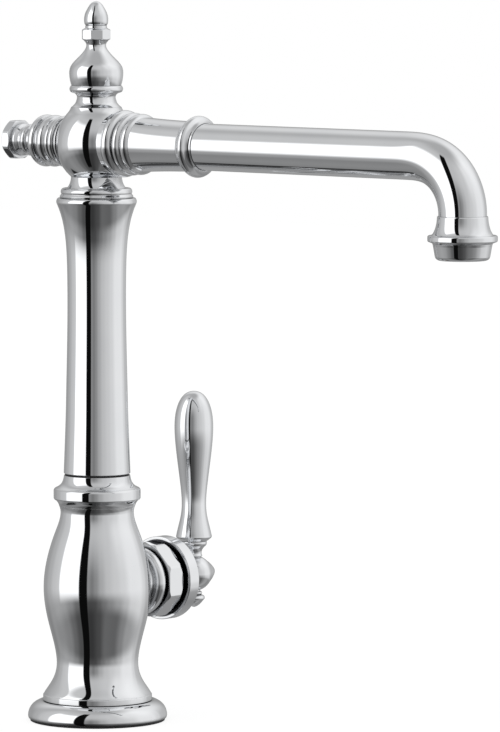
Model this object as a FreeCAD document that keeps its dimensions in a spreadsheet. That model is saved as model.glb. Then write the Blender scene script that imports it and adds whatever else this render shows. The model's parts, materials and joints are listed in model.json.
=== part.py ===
import FreeCAD, Part
import math
import operator
import os
import Sketcher

# Deck-mounted kitchen tap with a turned baluster body, a column that swivels above it, a ball
# that carries a finial, a long level spout with a down-turned outlet, and a lever at the side.
# Lengths are in millimetres. +Z is up and the origin lies on the column's axis at the deck.
# The spout points along -Y, and the lever's valve along +X.

SIZES = {
    # fits between pieces
    "seat_clearance": 0.05,
    "pin_clearance": 0.02,
    "slip_clearance": 0.2,
    "running_clearance": 0.06,
    # deck gasket, flange and threaded shank
    "gasket_thickness": 1.2,
    "gasket_radius": 32.2,
    "flange_height": 8.4,
    "flange_radius": 33.85,
    "flange_foot_radius": 32.4,
    "flange_top_radius": 27.2,
    "shank_radius": 16.0,
    "shank_length": 60.0,
    "shank_bore_radius": 12.5,
    "shank_relief_radius": 15.0,
    "shank_screw_radius": 14.4,
    # baluster body
    "body_height": 93.4,
    "body_wall": 2.6,
    "body_web_height": 12.4,
    "foot_radius": 26.0,
    "foot_band_height": 3.0,
    "foot_curve_radius": 25.7,
    "waist_radius": 15.82,
    "belly_lower_radius": 25.18,
    "belly_upper_radius": 26.43,
    "shoulder_radius": 20.74,
    "neck_radius": 16.24,
    "body_top_radius": 18.2,
    "neck_bore_radius": 14.95,
    "neck_bore_depth": 17.0,
    "neck_ledge_width": 1.5,
    "neck_ledge_height": 2.0,
    # side boss of the body, that holds the cartridge
    "valve_height": 64.0,
    "boss_start": 8.0,
    "boss_radius": 12.9,
    "boss_ring_start": 26.6,
    "boss_ring_radius": 16.5,
    "boss_ring_end": 33.0,
    "boss_screw_radius": 12.8,
    "boss_end": 41.3,
    "boss_bore_radius": 11.3,
    # mixing block inside the body, with its two inlets and its outlet
    "block_start": -11.0,
    "block_end": 14.0,
    "block_flat": 4.9,
    "inlet_radius": 4.5,
    "inlet_spacing": 10.0,
    "inlet_offset": -5.0,
    "inlet_roof": 4.6,
    "port_spacing": 8.0,
    "inlet_port_rise": 2.6,
    "inlet_port_radius": 1.6,
    "outlet_port_drop": 2.2,
    "outlet_port_radius": 1.8,
    "riser_offset": 3.0,
    "riser_radius": 4.0,
    "riser_bore_radius": 3.0,
    "riser_seat_rise": 6.0,
    # swivel joint between body and column
    "socket_floor": 3.0,
    "spigot_radius": 9.0,
    "spigot_bore_radius": 5.2,
    "spigot_gap": 0.4,
    "o_ring_radius": 0.9,
    "o_ring_squeeze": 0.1,
    "swivel_ring_spacing": 4.6,
    "swivel_ring_drop": 4.0,
    "collar_height": 14.5,
    "collar_cove_radius": 19.1,
    "collar_radius": 20.75,
    "collar_neck_radius": 16.5,
    "collar_top_radius": 15.8,
    "collar_lip": 0.8,
    "bush_wall": 3.4,
    "bush_gap": 2.6,
    "clip_groove_depth": 1.0,
    "clip_thickness": 1.2,
    "clip_play": 0.15,
    "clip_rise": 0.8,
    "clip_radius": 10.8,
    "clip_opening": 7.0,
    "washer_thickness": 0.8,
    "washer_radius": 15.2,
    # column
    "column_height": 131.4,
    "column_foot_radius": 15.9,
    "column_lower_radius": 14.78,
    "column_middle_radius": 14.0,
    "column_upper_radius": 13.74,
    "column_flare_radius": 14.7,
    "column_lip_radius": 19.1,
    "column_lip_height": 2.7,
    "column_bore_radius": 11.5,
    "column_edge": 0.3,
    "spigot_column_depth": 15.7,
    "water_tube_radius": 6.5,
    "water_tube_wall": 1.0,
    "water_tube_seat": 10.0,
    "neck_ring_height": 4.7,
    "neck_ring_radius": 17.5,
    "neck_ring_top_radius": 16.0,
    # ball tee
    "ball_lower_height": 21.54,
    "ball_upper_height": 16.86,
    "ball_foot_radius": 14.0,
    "ball_neck_radius": 12.1,
    "ball_neck_height": 5.4,
    "ball_radius": 19.3,
    "ball_crown_radius": 14.0,
    "ball_crown_height": 3.2,
    "ball_top_radius": 12.0,
    "ball_wall": 3.4,
    "ball_spigot_depth": 12.4,
    "ball_top_bore_radius": 5.2,
    "ball_top_bore_depth": 6.0,
    "front_boss_radius": 14.5,
    "front_boss_end": 15.4,
    "back_boss_radius": 11.3,
    "back_boss_end": 16.0,
    # finial
    "finial_base_height": 10.3,
    "finial_base_neck_radius": 8.9,
    "finial_base_ring_radius": 12.7,
    "finial_base_top_radius": 11.8,
    "finial_bulb_height": 21.2,
    "finial_bulb_radius": 12.96,
    "finial_bulb_neck_radius": 4.3,
    "finial_bulb_top_radius": 5.9,
    "finial_nut_height": 7.2,
    "finial_nut_across": 13.2,
    "finial_nut_corner_radius": 7.1,
    "finial_nut_top_radius": 5.15,
    "finial_tip_height": 11.5,
    "finial_tip_radius": 5.8,
    "finial_screw_radius": 2.5,
    "finial_screw_length": 7.0,
    "finial_tip_screw_radius": 2.0,
    # spout
    "spout_reach": 221.8,
    "spout_bend_radius": 25.8,
    "tube_radius": 11.0,
    "tube_wall": 1.2,
    "tube_start": 12.0,
    "spout_collar_radius": 16.0,
    "spout_collar_length": 15.8,
    "spout_collar_groove_radius": 13.5,
    "sleeve_foot_radius": 12.9,
    "sleeve_end_radius": 11.8,
    "sleeve_length": 28.4,
    "bead_radius": 14.5,
    "bead_length": 8.9,
    "bead_end_radius": 11.4,
    # outlet
    "ferrule_gap": 0.54,
    "ferrule_height": 12.3,
    "ferrule_top_radius": 11.6,
    "ferrule_ring_radius": 16.0,
    "ferrule_ring_height": 3.0,
    "ferrule_neck_radius": 13.9,
    "cup_height": 7.7,
    "cup_top_radius": 13.7,
    "cup_foot_radius": 12.5,
    "cup_rounding": 2.0,
    "cup_screw_radius": 10.9,
    "cup_screw_length": 2.9,
    "cup_bore_radius": 9.6,
    "cup_lip_radius": 8.8,
    "cup_lip_height": 1.2,
    "outlet_washer_thickness": 1.8,
    "outlet_washer_bore_radius": 8.0,
    "insert_height": 7.6,
    "insert_hole_radius": 0.75,
    "insert_hole_spacing": 2.2,
    "screen_thickness": 0.8,
    "screen_hole_radius": 0.5,
    # plug and collar at the back of the ball
    "back_collar_length": 18.2,
    "back_collar_radius": 12.4,
    "back_collar_groove_radius": 10.9,
    "plug_screw_radius": 6.0,
    "plug_screw_start": 12.0,
    "plug_neck_radius": 6.2,
    "plug_ring_radius": 7.6,
    "plug_neck_length": 14.2,
    "plug_head_length": 4.5,
    "plug_head_across": 18.1,
    "plug_head_corner_radius": 9.6,
    # bonnet nut of the valve
    "bonnet_length": 11.2,
    "bonnet_across": 34.6,
    "bonnet_corner_radius": 18.5,
    "bonnet_face_radius": 14.6,
    "bonnet_opening_radius": 9.6,
    "bonnet_lip": 2.7,
    # cartridge
    "shell_floor": 2.5,
    "shell_bore_radius": 9.6,
    "shell_lip_radius": 8.6,
    "shell_lip": 1.2,
    "seal_width": 0.8,
    "seal_thickness": 1.2,
    "fixed_disc_thickness": 3.5,
    "moving_disc_thickness": 3.0,
    "moving_disc_radius": 6.9,
    "mixing_recess_radius": 3.3,
    "mixing_recess_drop": 0.9,
    "mixing_recess_depth": 1.5,
    "slider_radius": 6.3,
    "slider_height": 4.3,
    "carrier_gap": 0.4,
    "carrier_length": 12.5,
    "carrier_clearance": 0.1,
    "carrier_slot_width": 5.3,
    "carrier_slot_up": 5.4,
    "carrier_slot_down": 6.4,
    "pivot_offset": 33.0,
    "pivot_pin_radius": 1.25,
    "pivot_pin_length": 18.0,
    "tail_arm": 7.5,
    "tail_radius": 1.7,
    "tail_neck_radius": 1.0,
    "tail_play": 0.15,
    "stem_width": 5.0,
    "stem_depth": 6.0,
    "stem_start": 28.5,
    "stem_end": 57.0,
    "stem_play": 0.1,
    # handle
    "disc_offset": 47.0,
    "disc_radius": 20.1,
    "disc_thickness": 4.5,
    "disc_recess_radius": 17.5,
    "disc_recess_depth": 3.0,
    "disc_crown": 1.2,
    "disc_edge": 0.7,
    "hub_start": 45.0,
    "hub_shank_radius": 4.4,
    "hub_shoulder_radius": 6.6,
    "hub_waist_radius": 4.6,
    "lever_offset": 70.4,
    "hub_ball_radius": 8.1,
    "hub_tip_offset": 85.0,
    "hub_flat_rise": 7.2,
    "set_screw_radius": 1.6,
    "set_screw_length": 2.6,
    "set_screw_offset": 54.9,
    "lever_screw_radius": 2.5,
    "lever_screw_depth": 5.0,
    "ferrule_length": 8.8,
    "lever_ferrule_neck_radius": 3.7,
    "lever_ferrule_ring_radius": 6.3,
    "lever_length": 72.9,
    "lever_foot_radius": 8.7,
    "lever_waist_radius": 5.8,
    "lever_swell_radius": 10.25,
    "knob_screw_radius": 1.6,
    "knob_screw_length": 4.0,
    "knob_length": 9.4,
    "knob_neck_radius": 2.9,
    "knob_bead_radius": 3.95,
    "knob_radius": 5.25,
}

START, END, CENTRE = 1, 2, 3
ORIGIN, VERTICAL_AXIS = -1, -2
LEFT = (-1, 0)
RIGHT = (1, 0)
UP = (0, 1)
DOWN = (0, -1)
HALF_FLAT = math.tan(math.radians(22.5))
QUARTER_ARC_INSET = 1 - math.cos(math.radians(45))
TURNS = {
    "+Z": FreeCAD.Rotation(),
    "+X": FreeCAD.Rotation(FreeCAD.Vector(0, 1, 0), 90),
    "-Y": FreeCAD.Rotation(FreeCAD.Vector(1, 0, 0), 90),
    "+Y": FreeCAD.Rotation(FreeCAD.Vector(1, 0, 0), -90),
}
OPERATIONS = {"+": operator.add, "-": operator.sub, "*": operator.mul, "/": operator.truediv}


class Size:
    """A length, known as a number and as the formula over the sheet that gives it."""

    def __init__(self, value, formula):
        self.value = value
        self.formula = formula

    def __add__(self, other):
        return combined(self, "+", other)

    def __radd__(self, other):
        return combined(other, "+", self)

    def __sub__(self, other):
        return combined(self, "-", other)

    def __rsub__(self, other):
        return combined(other, "-", self)

    def __mul__(self, other):
        return combined(self, "*", other)

    def __rmul__(self, other):
        return combined(other, "*", self)

    def __truediv__(self, other):
        return combined(self, "/", other)

    def __neg__(self):
        return combined(0, "-", self)


def as_size(length):
    """A Size as it is, or a plain number as a Size."""
    if isinstance(length, Size):
        return length
    return Size(float(length), f"({float(length)})")


def combined(left, sign, right):
    """The Size that an operation on two lengths gives."""
    first = as_size(left)
    second = as_size(right)
    value = OPERATIONS[sign](first.value, second.value)
    return Size(value, f"({first.formula} {sign} {second.formula})")


class Sheet:
    """The driving dimensions: each is an attribute that holds its Size."""

    def __init__(self, document, sizes):
        cells = document.addObject("Spreadsheet::Sheet", "Sizes")
        for row, (name, value) in enumerate(sizes.items(), start=1):
            cells.set(f"A{row}", name)
            cells.set(f"B{row}", str(value))
            cells.setAlias(f"B{row}", name)
            setattr(self, name, Size(float(value), f"Sizes.{name}"))


doc = FreeCAD.newDocument("kitchen_tap")
s = Sheet(doc, SIZES)
doc.recompute()

# Levels on the column's axis, from the deck up.
FOOT = s.gasket_thickness + s.flange_height
BODY_TOP = FOOT + s.body_height
SOCKET_FOOT = BODY_TOP - s.neck_bore_depth
COLLAR_TOP = BODY_TOP + s.collar_height
COLUMN_FOOT = COLLAR_TOP + s.washer_thickness
COLUMN_TOP = COLUMN_FOOT + s.column_height
BALL_FOOT = COLUMN_TOP + s.neck_ring_height
SPOUT_AXIS = BALL_FOOT + s.ball_lower_height
BALL_TOP = SPOUT_AXIS + s.ball_upper_height
BULB_FOOT = BALL_TOP + s.finial_base_height
NUT_FOOT = BULB_FOOT + s.finial_bulb_height
TIP_FOOT = NUT_FOOT + s.finial_nut_height
# Places along the spout's axis, from the column's axis forward.
SLEEVE_START = s.front_boss_end + s.spout_collar_length
BEAD_START = SLEEVE_START + s.sleeve_length
BEND_START = s.spout_reach - s.spout_bend_radius
# Levels at the outlet, from the end of the spout's bend down.
FERRULE_TOP = SPOUT_AXIS - s.spout_bend_radius - s.ferrule_gap
CUP_TOP = FERRULE_TOP - s.ferrule_height
OUTLET = CUP_TOP - s.cup_height
WASHER_FOOT = CUP_TOP + s.cup_screw_length
TUBE_END = WASHER_FOOT + s.outlet_washer_thickness
# Places along the valve's axis, from the column's axis outward.
SHELL_END = s.boss_end + s.slip_clearance
FIXED_DISC_START = s.block_end + s.shell_floor
MOVING_DISC_START = FIXED_DISC_START + s.fixed_disc_thickness
SLIDER_START = MOVING_DISC_START + s.moving_disc_thickness
CARRIER_START = SLIDER_START + s.slider_height + s.carrier_gap
TAIL_CENTRE = s.pivot_offset - s.tail_arm
DISC_SHOULDER = s.disc_offset + s.disc_thickness + s.disc_crown
FERRULE_FOOT = s.valve_height + s.hub_flat_rise
LEVER_FOOT = FERRULE_FOOT + s.ferrule_length
KNOB_TOP = s.valve_height - s.hub_flat_rise


class Corner(tuple):
    """A corner of a path."""


class Through(tuple):
    """A point that an arc passes, between the two corners beside it in a path."""


def shares(start, end, controls):
    """Control points given as a radius and a share of the way from start to end."""
    return [(radius, start + (end - start) * share) for radius, share in controls]


def placed(start, length, section):
    """A section given as radii and shares of a length, placed from start."""
    return [type(item)((item[0], start + length * item[1])) for item in section]


def rounded(x, y, radius, before, after):
    """The corner (x, y) as an arc, with its two edges leaving in the directions given."""
    inset = radius * QUARTER_ARC_INSET
    return (
        (x + radius * before[0], y + radius * before[1]),
        Through((x + inset * (before[0] + after[0]), y + inset * (before[1] + after[1]))),
        (x + radius * after[0], y + radius * after[1]),
    )


def point(pair):
    """A pair of lengths as a vector in a sketch."""
    return FreeCAD.Vector(as_size(pair[0]).value, as_size(pair[1]).value, 0)


def bind(feature, name, length):
    """Ties a property to the sheet."""
    feature.setExpression(name, as_size(length).formula)


def constrain(sketch, kind, *where):
    """Adds a constraint, and ties it to the sheet if its last argument is a length."""
    length = where[-1]
    if isinstance(length, Size):
        number = sketch.addConstraint(Sketcher.Constraint(kind, *where[:-1], length.value))
        sketch.setExpression(f"Constraints[{number}]", length.formula)
    else:
        sketch.addConstraint(Sketcher.Constraint(kind, *where))


def fix_point(sketch, geometry, position, pair):
    """Holds a point of a sketch at its two lengths from the sketch's origin."""
    x, y = (as_size(length) for length in pair)
    if x.value == 0:
        constrain(sketch, "PointOnObject", geometry, position, VERTICAL_AXIS)
    else:
        constrain(sketch, "DistanceX", ORIGIN, START, geometry, position, x)
    if y.value == 0:
        constrain(sketch, "PointOnObject", geometry, position, ORIGIN)
    else:
        constrain(sketch, "DistanceY", ORIGIN, START, geometry, position, y)


def smooth_curve(start, controls, end):
    """A cubic curve between two corners, drawn towards its control points."""
    poles = [point(pair) for pair in (start, *controls, end)]
    spans = len(poles) - 3
    knots = [span / spans for span in range(spans + 1)]
    counts = [4] + [1] * (spans - 1) + [4]
    curve = Part.BSplineCurve()
    curve.buildFromPolesMultsKnots(poles, counts, knots, False, 3)
    return curve


def edge_geometry(start, between, end):
    """The line, arc or smooth curve from one corner of a path to the next."""
    if isinstance(between, Through):
        return Part.Arc(point(start), point(between), point(end))
    if between:
        return smooth_curve(start, between, end)
    return Part.LineSegment(point(start), point(end))


def path_edges(path):
    """Splits a closed path into its edges: start, what lies between, and end."""
    edges = []
    for place, item in enumerate(path):
        if isinstance(item, (list, Through)):
            continue
        after = path[(place + 1) % len(path)]
        between = after if isinstance(after, (list, Through)) else None
        end = path[(place + (2 if between else 1)) % len(path)]
        edges.append((item, between, end))
    return edges


def fix_between(sketch, edge, between):
    """Holds an arc by the point that it passes, or a curve by its control points."""
    if isinstance(between, Through):
        passed = sketch.addGeometry(Part.Point(point(between)), True)
        fix_point(sketch, passed, START, between)
        constrain(sketch, "PointOnObject", passed, START, edge)
        return
    for place, control in enumerate(between or [], start=1):
        mark = Part.Circle(point(control), FreeCAD.Vector(0, 0, 1), 1.0)
        circle = sketch.addGeometry(mark, True)
        pole = "InternalAlignment:Sketcher::BSplineControlPoint"
        sketch.addConstraint(Sketcher.Constraint(pole, circle, CENTRE, edge, place))
        sketch.addConstraint(Sketcher.Constraint("Weight", circle, 1.0))
        fix_point(sketch, circle, CENTRE, control)


def is_clockwise(start, between, end):
    """Whether an edge is an arc that a sketch keeps from its far end to its near one."""
    if not isinstance(between, Through):
        return False
    middle = point(between)
    return (middle - point(start)).cross(point(end) - middle).z < 0


def draw_path(sketch, path, closed=True):
    """Draws a path of corners. A list is a smooth curve's control points, Through an arc's."""
    edges = path_edges(path)
    if not closed:
        edges = edges[:-1]
    drawn = []
    for edge in edges:
        geometry = sketch.addGeometry(edge_geometry(*edge), False)
        near, far = (END, START) if is_clockwise(*edge) else (START, END)
        drawn.append((geometry, near, far))
    following = drawn[1:] + drawn[:1] if closed else drawn[1:]
    for (this, _, far), (after, near, _) in zip(drawn, following):
        sketch.addConstraint(Sketcher.Constraint("Coincident", this, far, after, near))
    for (geometry, near, _), (start, between, _) in zip(drawn, edges):
        fix_point(sketch, geometry, near, start)
        fix_between(sketch, geometry, between)
    if not closed:
        geometry, _, far = drawn[-1]
        fix_point(sketch, geometry, far, edges[-1][2])


def draw_circles(sketch, centres, radius):
    """Draws circles of one radius."""
    for centre in centres:
        circle = Part.Circle(point(centre), FreeCAD.Vector(0, 0, 1), as_size(radius).value)
        geometry = sketch.addGeometry(circle, False)
        fix_point(sketch, geometry, CENTRE, centre)
        constrain(sketch, "Radius", geometry, as_size(radius))


def new_body(name, along="+Z", at=(0, 0, 0)):
    """A piece's body, with its own Z axis turned to a direction and its origin placed."""
    body = doc.addObject("PartDesign::Body", name)
    body.Label = name
    place = FreeCAD.Vector(*(as_size(length).value for length in at))
    body.Placement = FreeCAD.Placement(place, TURNS[along])
    for axis, length in zip("xyz", at):
        bind(body, f"Placement.Base.{axis}", length)
    return body


def new_sketch(body, name, plane, lift=0):
    """A sketch on one of a body's origin planes, lifted along the plane's normal."""
    support = next(face for face in body.Origin.OriginFeatures if face.Role == plane)
    sketch = body.newObject("Sketcher::SketchObject", name)
    sketch.AttachmentSupport = [(support, "")]
    sketch.MapMode = "FlatFace"
    bind(sketch, "AttachmentOffset.Base.z", lift)
    return sketch


def turn_sketch(body, sketch, axis="V_Axis"):
    """Turns a sketch about an axis into a solid of the body."""
    turn = body.newObject("PartDesign::Revolution", f"{sketch.Name}_turned")
    turn.Profile = sketch
    turn.ReferenceAxis = (sketch, [axis])
    turn.Angle = 360
    return turn


def turned(name, path, along="+Z", at=(0, 0, 0)):
    """A piece turned from the half section (radius, height) about its own axis."""
    body = new_body(name, along, at)
    sketch = new_sketch(body, f"{name}_section", "XZ_Plane")
    draw_path(sketch, path)
    turn_sketch(body, sketch)
    doc.recompute()
    return body


def ring(name, inner, outer, start, end, along="+Z", at=(0, 0, 0)):
    """A plain ring between two radii and two levels."""
    return turned(name, [(inner, start), (outer, start), (outer, end), (inner, end)], along, at)


def pocket(body, sketch, depth, forward):
    """Cuts a sketch into its body, along the sketch's normal if forward, and checks it."""
    before = body.Shape.Volume
    cut = body.newObject("PartDesign::Pocket", f"{sketch.Name}_cut")
    cut.Profile = sketch
    bind(cut, "Length", depth)
    cut.Reversed = forward
    doc.recompute()
    if body.Shape.Volume > before - 1e-3:
        raise ValueError(f"{cut.Name} removes nothing")
    return cut


def drill(body, name, plane, centres, radius, lift, depth, forward):
    """Round holes of one radius, from a level of an origin plane."""
    sketch = new_sketch(body, name, plane, lift)
    draw_circles(sketch, centres, radius)
    return pocket(body, sketch, depth, forward)


def box_path(left, right, low, high):
    """A rectangle as a path."""
    return [(left, low), (right, low), (right, high), (left, high)]


def octagon_path(across):
    """An octagon as a path, with flats square to both axes."""
    flat = across / 2
    corner = across * (HALF_FLAT / 2)
    return [
        (flat, -corner),
        (flat, corner),
        (corner, flat),
        (-corner, flat),
        (-flat, corner),
        (-flat, -corner),
        (-corner, -flat),
        (corner, -flat),
    ]


def cut_octagon(body, name, across, clear_radius, start, length):
    """Eight flats about a body's own axis, from one level over a length."""
    sketch = new_sketch(body, name, "XY_Plane", start)
    draw_path(sketch, octagon_path(across))
    draw_circles(sketch, [(0, 0)], clear_radius)
    return pocket(body, sketch, length, True)


def o_ring(name, radius, places, along="+Z", at=(0, 0, 0)):
    """O-rings on a shaft of a radius, one at each place, as separate solids of one node."""
    rings = []
    for number, place in enumerate(places, start=1):
        body = new_body(f"{name}_{number}", along, at)
        sketch = new_sketch(body, f"{name}_{number}_section", "XZ_Plane")
        middle = radius + s.o_ring_radius + s.o_ring_squeeze
        draw_circles(sketch, [(middle, place)], s.o_ring_radius)
        turn_sketch(body, sketch)
        rings.append(body)
    doc.recompute()
    return grouped(name, rings)


def grouped(name, pieces):
    """Alike pieces as separate solids of one node."""
    group = doc.addObject("Part::Compound", name)
    group.Label = name
    group.Links = pieces
    doc.recompute()
    return group


def ring_groove(level, radius, inward):
    """The four corners of an O-ring's groove in a bore, from one side of it to the other."""
    half = s.o_ring_radius + s.o_ring_squeeze
    depth = radius + half * 2
    first, last = (level + half, level - half) if inward else (level - half, level + half)
    return [(radius, first), (depth, first), (depth, last), (radius, last)]


# ---- deck fixing ----


def make_deck_gasket():
    inner = s.shank_radius + s.slip_clearance
    return ring("deck_gasket", inner, s.gasket_radius, 0, s.gasket_thickness)


def make_base_flange():
    foot = s.gasket_thickness
    inner = s.shank_relief_radius + s.slip_clearance
    dome = shares(
        foot,
        FOOT,
        [(s.flange_radius, 0.12), (s.flange_radius - 0.9, 0.65), (s.flange_radius - 4.4, 0.93)],
    )
    return turned(
        "base_flange",
        [(inner, foot), (s.flange_foot_radius, foot), dome, (s.flange_top_radius, FOOT), (inner, FOOT)],
    )


def make_mounting_shank():
    """Threaded tube through the deck, drawn at its outer diameter, that screws into the body."""
    screw_top = FOOT + s.body_web_height - s.slip_clearance
    return turned(
        "mounting_shank",
        [
            (s.shank_bore_radius, -s.shank_length),
            (s.shank_radius, -s.shank_length),
            (s.shank_radius, 0),
            (s.shank_relief_radius, 0),
            (s.shank_relief_radius, FOOT),
            (s.shank_screw_radius, FOOT),
            (s.shank_screw_radius, screw_top),
            (s.shank_bore_radius, screw_top),
        ],
    )


# ---- body ----


def body_section():
    """Half section of the baluster: foot band, waist, belly and neck outside, hollow inside."""
    band_top = FOOT + s.foot_band_height
    curve_foot = band_top + 0.4
    outside = shares(
        curve_foot,
        BODY_TOP,
        [
            (s.foot_curve_radius - 1.36, 0.027),
            (s.waist_radius, 0.116),
            (s.belly_lower_radius, 0.413),
            (s.belly_upper_radius, 0.633),
            (s.shoulder_radius, 0.854),
            (s.neck_radius, 0.956),
        ],
    )
    ledge_radius = s.neck_bore_radius - s.neck_ledge_width
    ledge_foot = SOCKET_FOOT - s.neck_ledge_height
    web_bore = s.shank_screw_radius + s.seat_clearance
    web_top = FOOT + s.body_web_height
    inside = shares(
        ledge_foot,
        web_top,
        [
            (s.shoulder_radius, 0.07),
            (s.belly_upper_radius - s.body_wall, 0.2),
            (s.belly_lower_radius - s.body_wall, 0.5),
            (s.waist_radius + s.body_wall / 2, 0.75),
        ],
    )
    return [
        (web_bore, FOOT),
        *rounded(s.foot_radius, FOOT, 0.4, LEFT, UP),
        *rounded(s.foot_radius, band_top, 0.4, DOWN, LEFT),
        (s.foot_curve_radius - 0.2, curve_foot),
        outside,
        (s.body_top_radius, BODY_TOP),
        (s.neck_bore_radius, BODY_TOP),
        (s.neck_bore_radius, SOCKET_FOOT),
        (ledge_radius, SOCKET_FOOT),
        (ledge_radius, ledge_foot),
        inside,
        (web_bore + 0.9, web_top + 1.6),
        (web_bore, web_top),
    ]


def make_lower_body():
    body = turned("lower_body", body_section())
    axis = s.valve_height
    boss = new_sketch(body, "boss_section", "XZ_Plane")
    middle = (s.boss_ring_start + s.boss_ring_end) / 2
    shoulder = axis + s.boss_ring_radius - 2.6
    draw_path(
        boss,
        [
            (s.boss_start, axis),
            (s.boss_start, axis + s.boss_radius),
            (s.boss_ring_start, axis + s.boss_radius),
            (s.boss_ring_start + 0.2, shoulder),
            Through((middle, axis + s.boss_ring_radius)),
            (s.boss_ring_end - 0.2, shoulder),
            (s.boss_ring_end, axis + s.boss_radius + 0.2),
            (s.boss_ring_end, axis + s.boss_screw_radius),
            (s.boss_end, axis + s.boss_screw_radius),
            (s.boss_end, axis),
        ],
    )
    spindle = Part.LineSegment(point((0, axis)), point((s.boss_end, axis)))
    line = boss.addGeometry(spindle, True)
    fix_point(boss, line, START, (0, axis))
    fix_point(boss, line, END, (s.boss_end, axis))
    turn_sketch(body, boss, "Axis0")
    doc.recompute()
    length = s.boss_end - s.boss_start
    drill(body, "boss_bore", "YZ_Plane", [(0, axis)], s.boss_bore_radius, s.boss_start, length, True)
    return body


def port_centres():
    """Centres of the cartridge's two inlets and one outlet, on the valve's own X axis down."""
    half_spacing = s.port_spacing / 2
    inlets = [(-s.inlet_port_rise, half_spacing), (-s.inlet_port_rise, -half_spacing)]
    return inlets, [(s.outlet_port_drop, 0)]


def make_mixing_block():
    """Brass block on the valve's axis. Its own X axis points down."""
    radius = s.boss_bore_radius - s.seat_clearance
    length = s.block_end - s.block_start
    body = turned(
        "mixing_block",
        [(0, 0), (radius, 0), (radius, length), (0, length)],
        "+X",
        (s.block_start, 0, s.valve_height),
    )
    flat = new_sketch(body, "block_flat_section", "XY_Plane")
    draw_path(flat, box_path(s.block_flat, radius + 1, -radius - 1, radius + 1))
    pocket(body, flat, s.boss_start - s.block_start - s.seat_clearance, True)
    half_spacing = s.inlet_spacing / 2
    inlet_line = s.inlet_offset - s.block_start
    riser_line = s.riser_offset - s.block_start
    bores = [(half_spacing, inlet_line), (-half_spacing, inlet_line)]
    drill(body, "inlet_bores", "YZ_Plane", bores, s.inlet_radius, -s.inlet_roof, radius * 2, True)
    seat_radius = s.riser_radius + s.seat_clearance
    riser = [(0, riser_line)]
    drill(body, "riser_seat", "YZ_Plane", riser, seat_radius, -s.riser_seat_rise, radius, False)
    drill(body, "riser_way", "YZ_Plane", riser, s.outlet_port_radius, s.outlet_port_drop, radius, False)
    inlets, outlet = port_centres()
    inlet_depth = length - inlet_line
    outlet_depth = length - riser_line
    drill(body, "inlet_ways", "XY_Plane", inlets, s.inlet_port_radius, length, inlet_depth, False)
    drill(body, "outlet_way", "XY_Plane", outlet, s.outlet_port_radius, length, outlet_depth, False)
    return body


def make_riser_tube():
    foot = s.valve_height + s.riser_seat_rise
    top = SOCKET_FOOT + s.socket_floor - s.slip_clearance
    at = (s.riser_offset, 0, 0)
    return ring("riser_tube", s.riser_bore_radius, s.riser_radius, foot, top, "+Z", at)


# ---- swivel joint ----


def swivel_ring_levels():
    upper = BODY_TOP - s.swivel_ring_drop
    return [upper, upper - s.swivel_ring_spacing]


def make_swivel_socket():
    outer = s.neck_bore_radius - s.seat_clearance
    bore = s.spigot_radius + s.running_clearance
    floor = SOCKET_FOOT + s.socket_floor
    upper, lower = swivel_ring_levels()
    body = turned(
        "swivel_socket",
        [
            (0, SOCKET_FOOT),
            (outer, SOCKET_FOOT),
            (outer, BODY_TOP),
            (bore, BODY_TOP),
            *ring_groove(upper, bore, True),
            *ring_groove(lower, bore, True),
            (bore, floor),
            (0, floor),
        ],
    )
    hole = [(s.riser_offset, 0)]
    radius = s.riser_radius + s.seat_clearance
    drill(body, "riser_hole", "XY_Plane", hole, radius, floor + 1, s.socket_floor + 2, False)
    return body


def collar_section():
    edge = s.collar_radius
    neck = s.collar_neck_radius
    cove = [(s.collar_cove_radius - 0.6, 0.09), (s.collar_cove_radius, 0.13)]
    rise = [(neck + 0.4, 0.68), (neck - 0.3, 0.78)]
    band = [
        (edge - 0.9, 0.19),
        Through((edge - 0.25, 0.215)),
        (edge, 0.265),
        (edge, 0.5),
        Through((edge - 0.35, 0.555)),
        (edge - 1.2, 0.59),
    ]
    bore = s.spigot_radius + s.running_clearance + s.bush_wall
    lip_foot = COLLAR_TOP - s.collar_lip
    return [
        (bore, BODY_TOP),
        (s.body_top_radius, BODY_TOP),
        shares(BODY_TOP, COLLAR_TOP, cove),
        *placed(BODY_TOP, s.collar_height, band),
        shares(BODY_TOP, COLLAR_TOP, rise),
        (s.collar_top_radius, COLLAR_TOP),
        (s.spigot_radius + s.slip_clearance, COLLAR_TOP),
        (s.spigot_radius + s.slip_clearance, lip_foot),
        (bore, lip_foot),
    ]


def make_swivel_bush():
    bore = s.spigot_radius + s.running_clearance
    outer = bore + s.bush_wall - s.seat_clearance
    return ring("swivel_bush", bore, outer, BODY_TOP + s.bush_gap, COLLAR_TOP - s.collar_lip)


def make_thrust_washer():
    inner = s.spigot_radius + s.slip_clearance
    return ring("thrust_washer", inner, s.washer_radius, COLLAR_TOP, COLUMN_FOOT)


def make_swivel_spigot():
    outer = s.column_bore_radius - s.seat_clearance
    top = COLUMN_FOOT + s.spigot_column_depth
    groove = BODY_TOP + s.clip_rise
    groove_radius = s.spigot_radius - s.clip_groove_depth
    groove_top = groove + s.clip_thickness + s.clip_play * 2
    seat_radius = s.water_tube_radius + s.running_clearance
    seat = top - s.water_tube_seat
    foot = SOCKET_FOOT + s.socket_floor + s.spigot_gap
    return turned(
        "swivel_spigot",
        [
            (s.spigot_bore_radius, foot),
            (s.spigot_radius, foot),
            (s.spigot_radius, groove),
            (groove_radius, groove),
            (groove_radius, groove_top),
            (s.spigot_radius, groove_top),
            (s.spigot_radius, COLUMN_FOOT),
            (outer, COLUMN_FOOT),
            (outer, top),
            (seat_radius, top),
            *ring_groove(seat + s.water_tube_seat / 2, seat_radius, True),
            (seat_radius, seat),
            (s.spigot_bore_radius, seat),
        ],
    )


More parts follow.
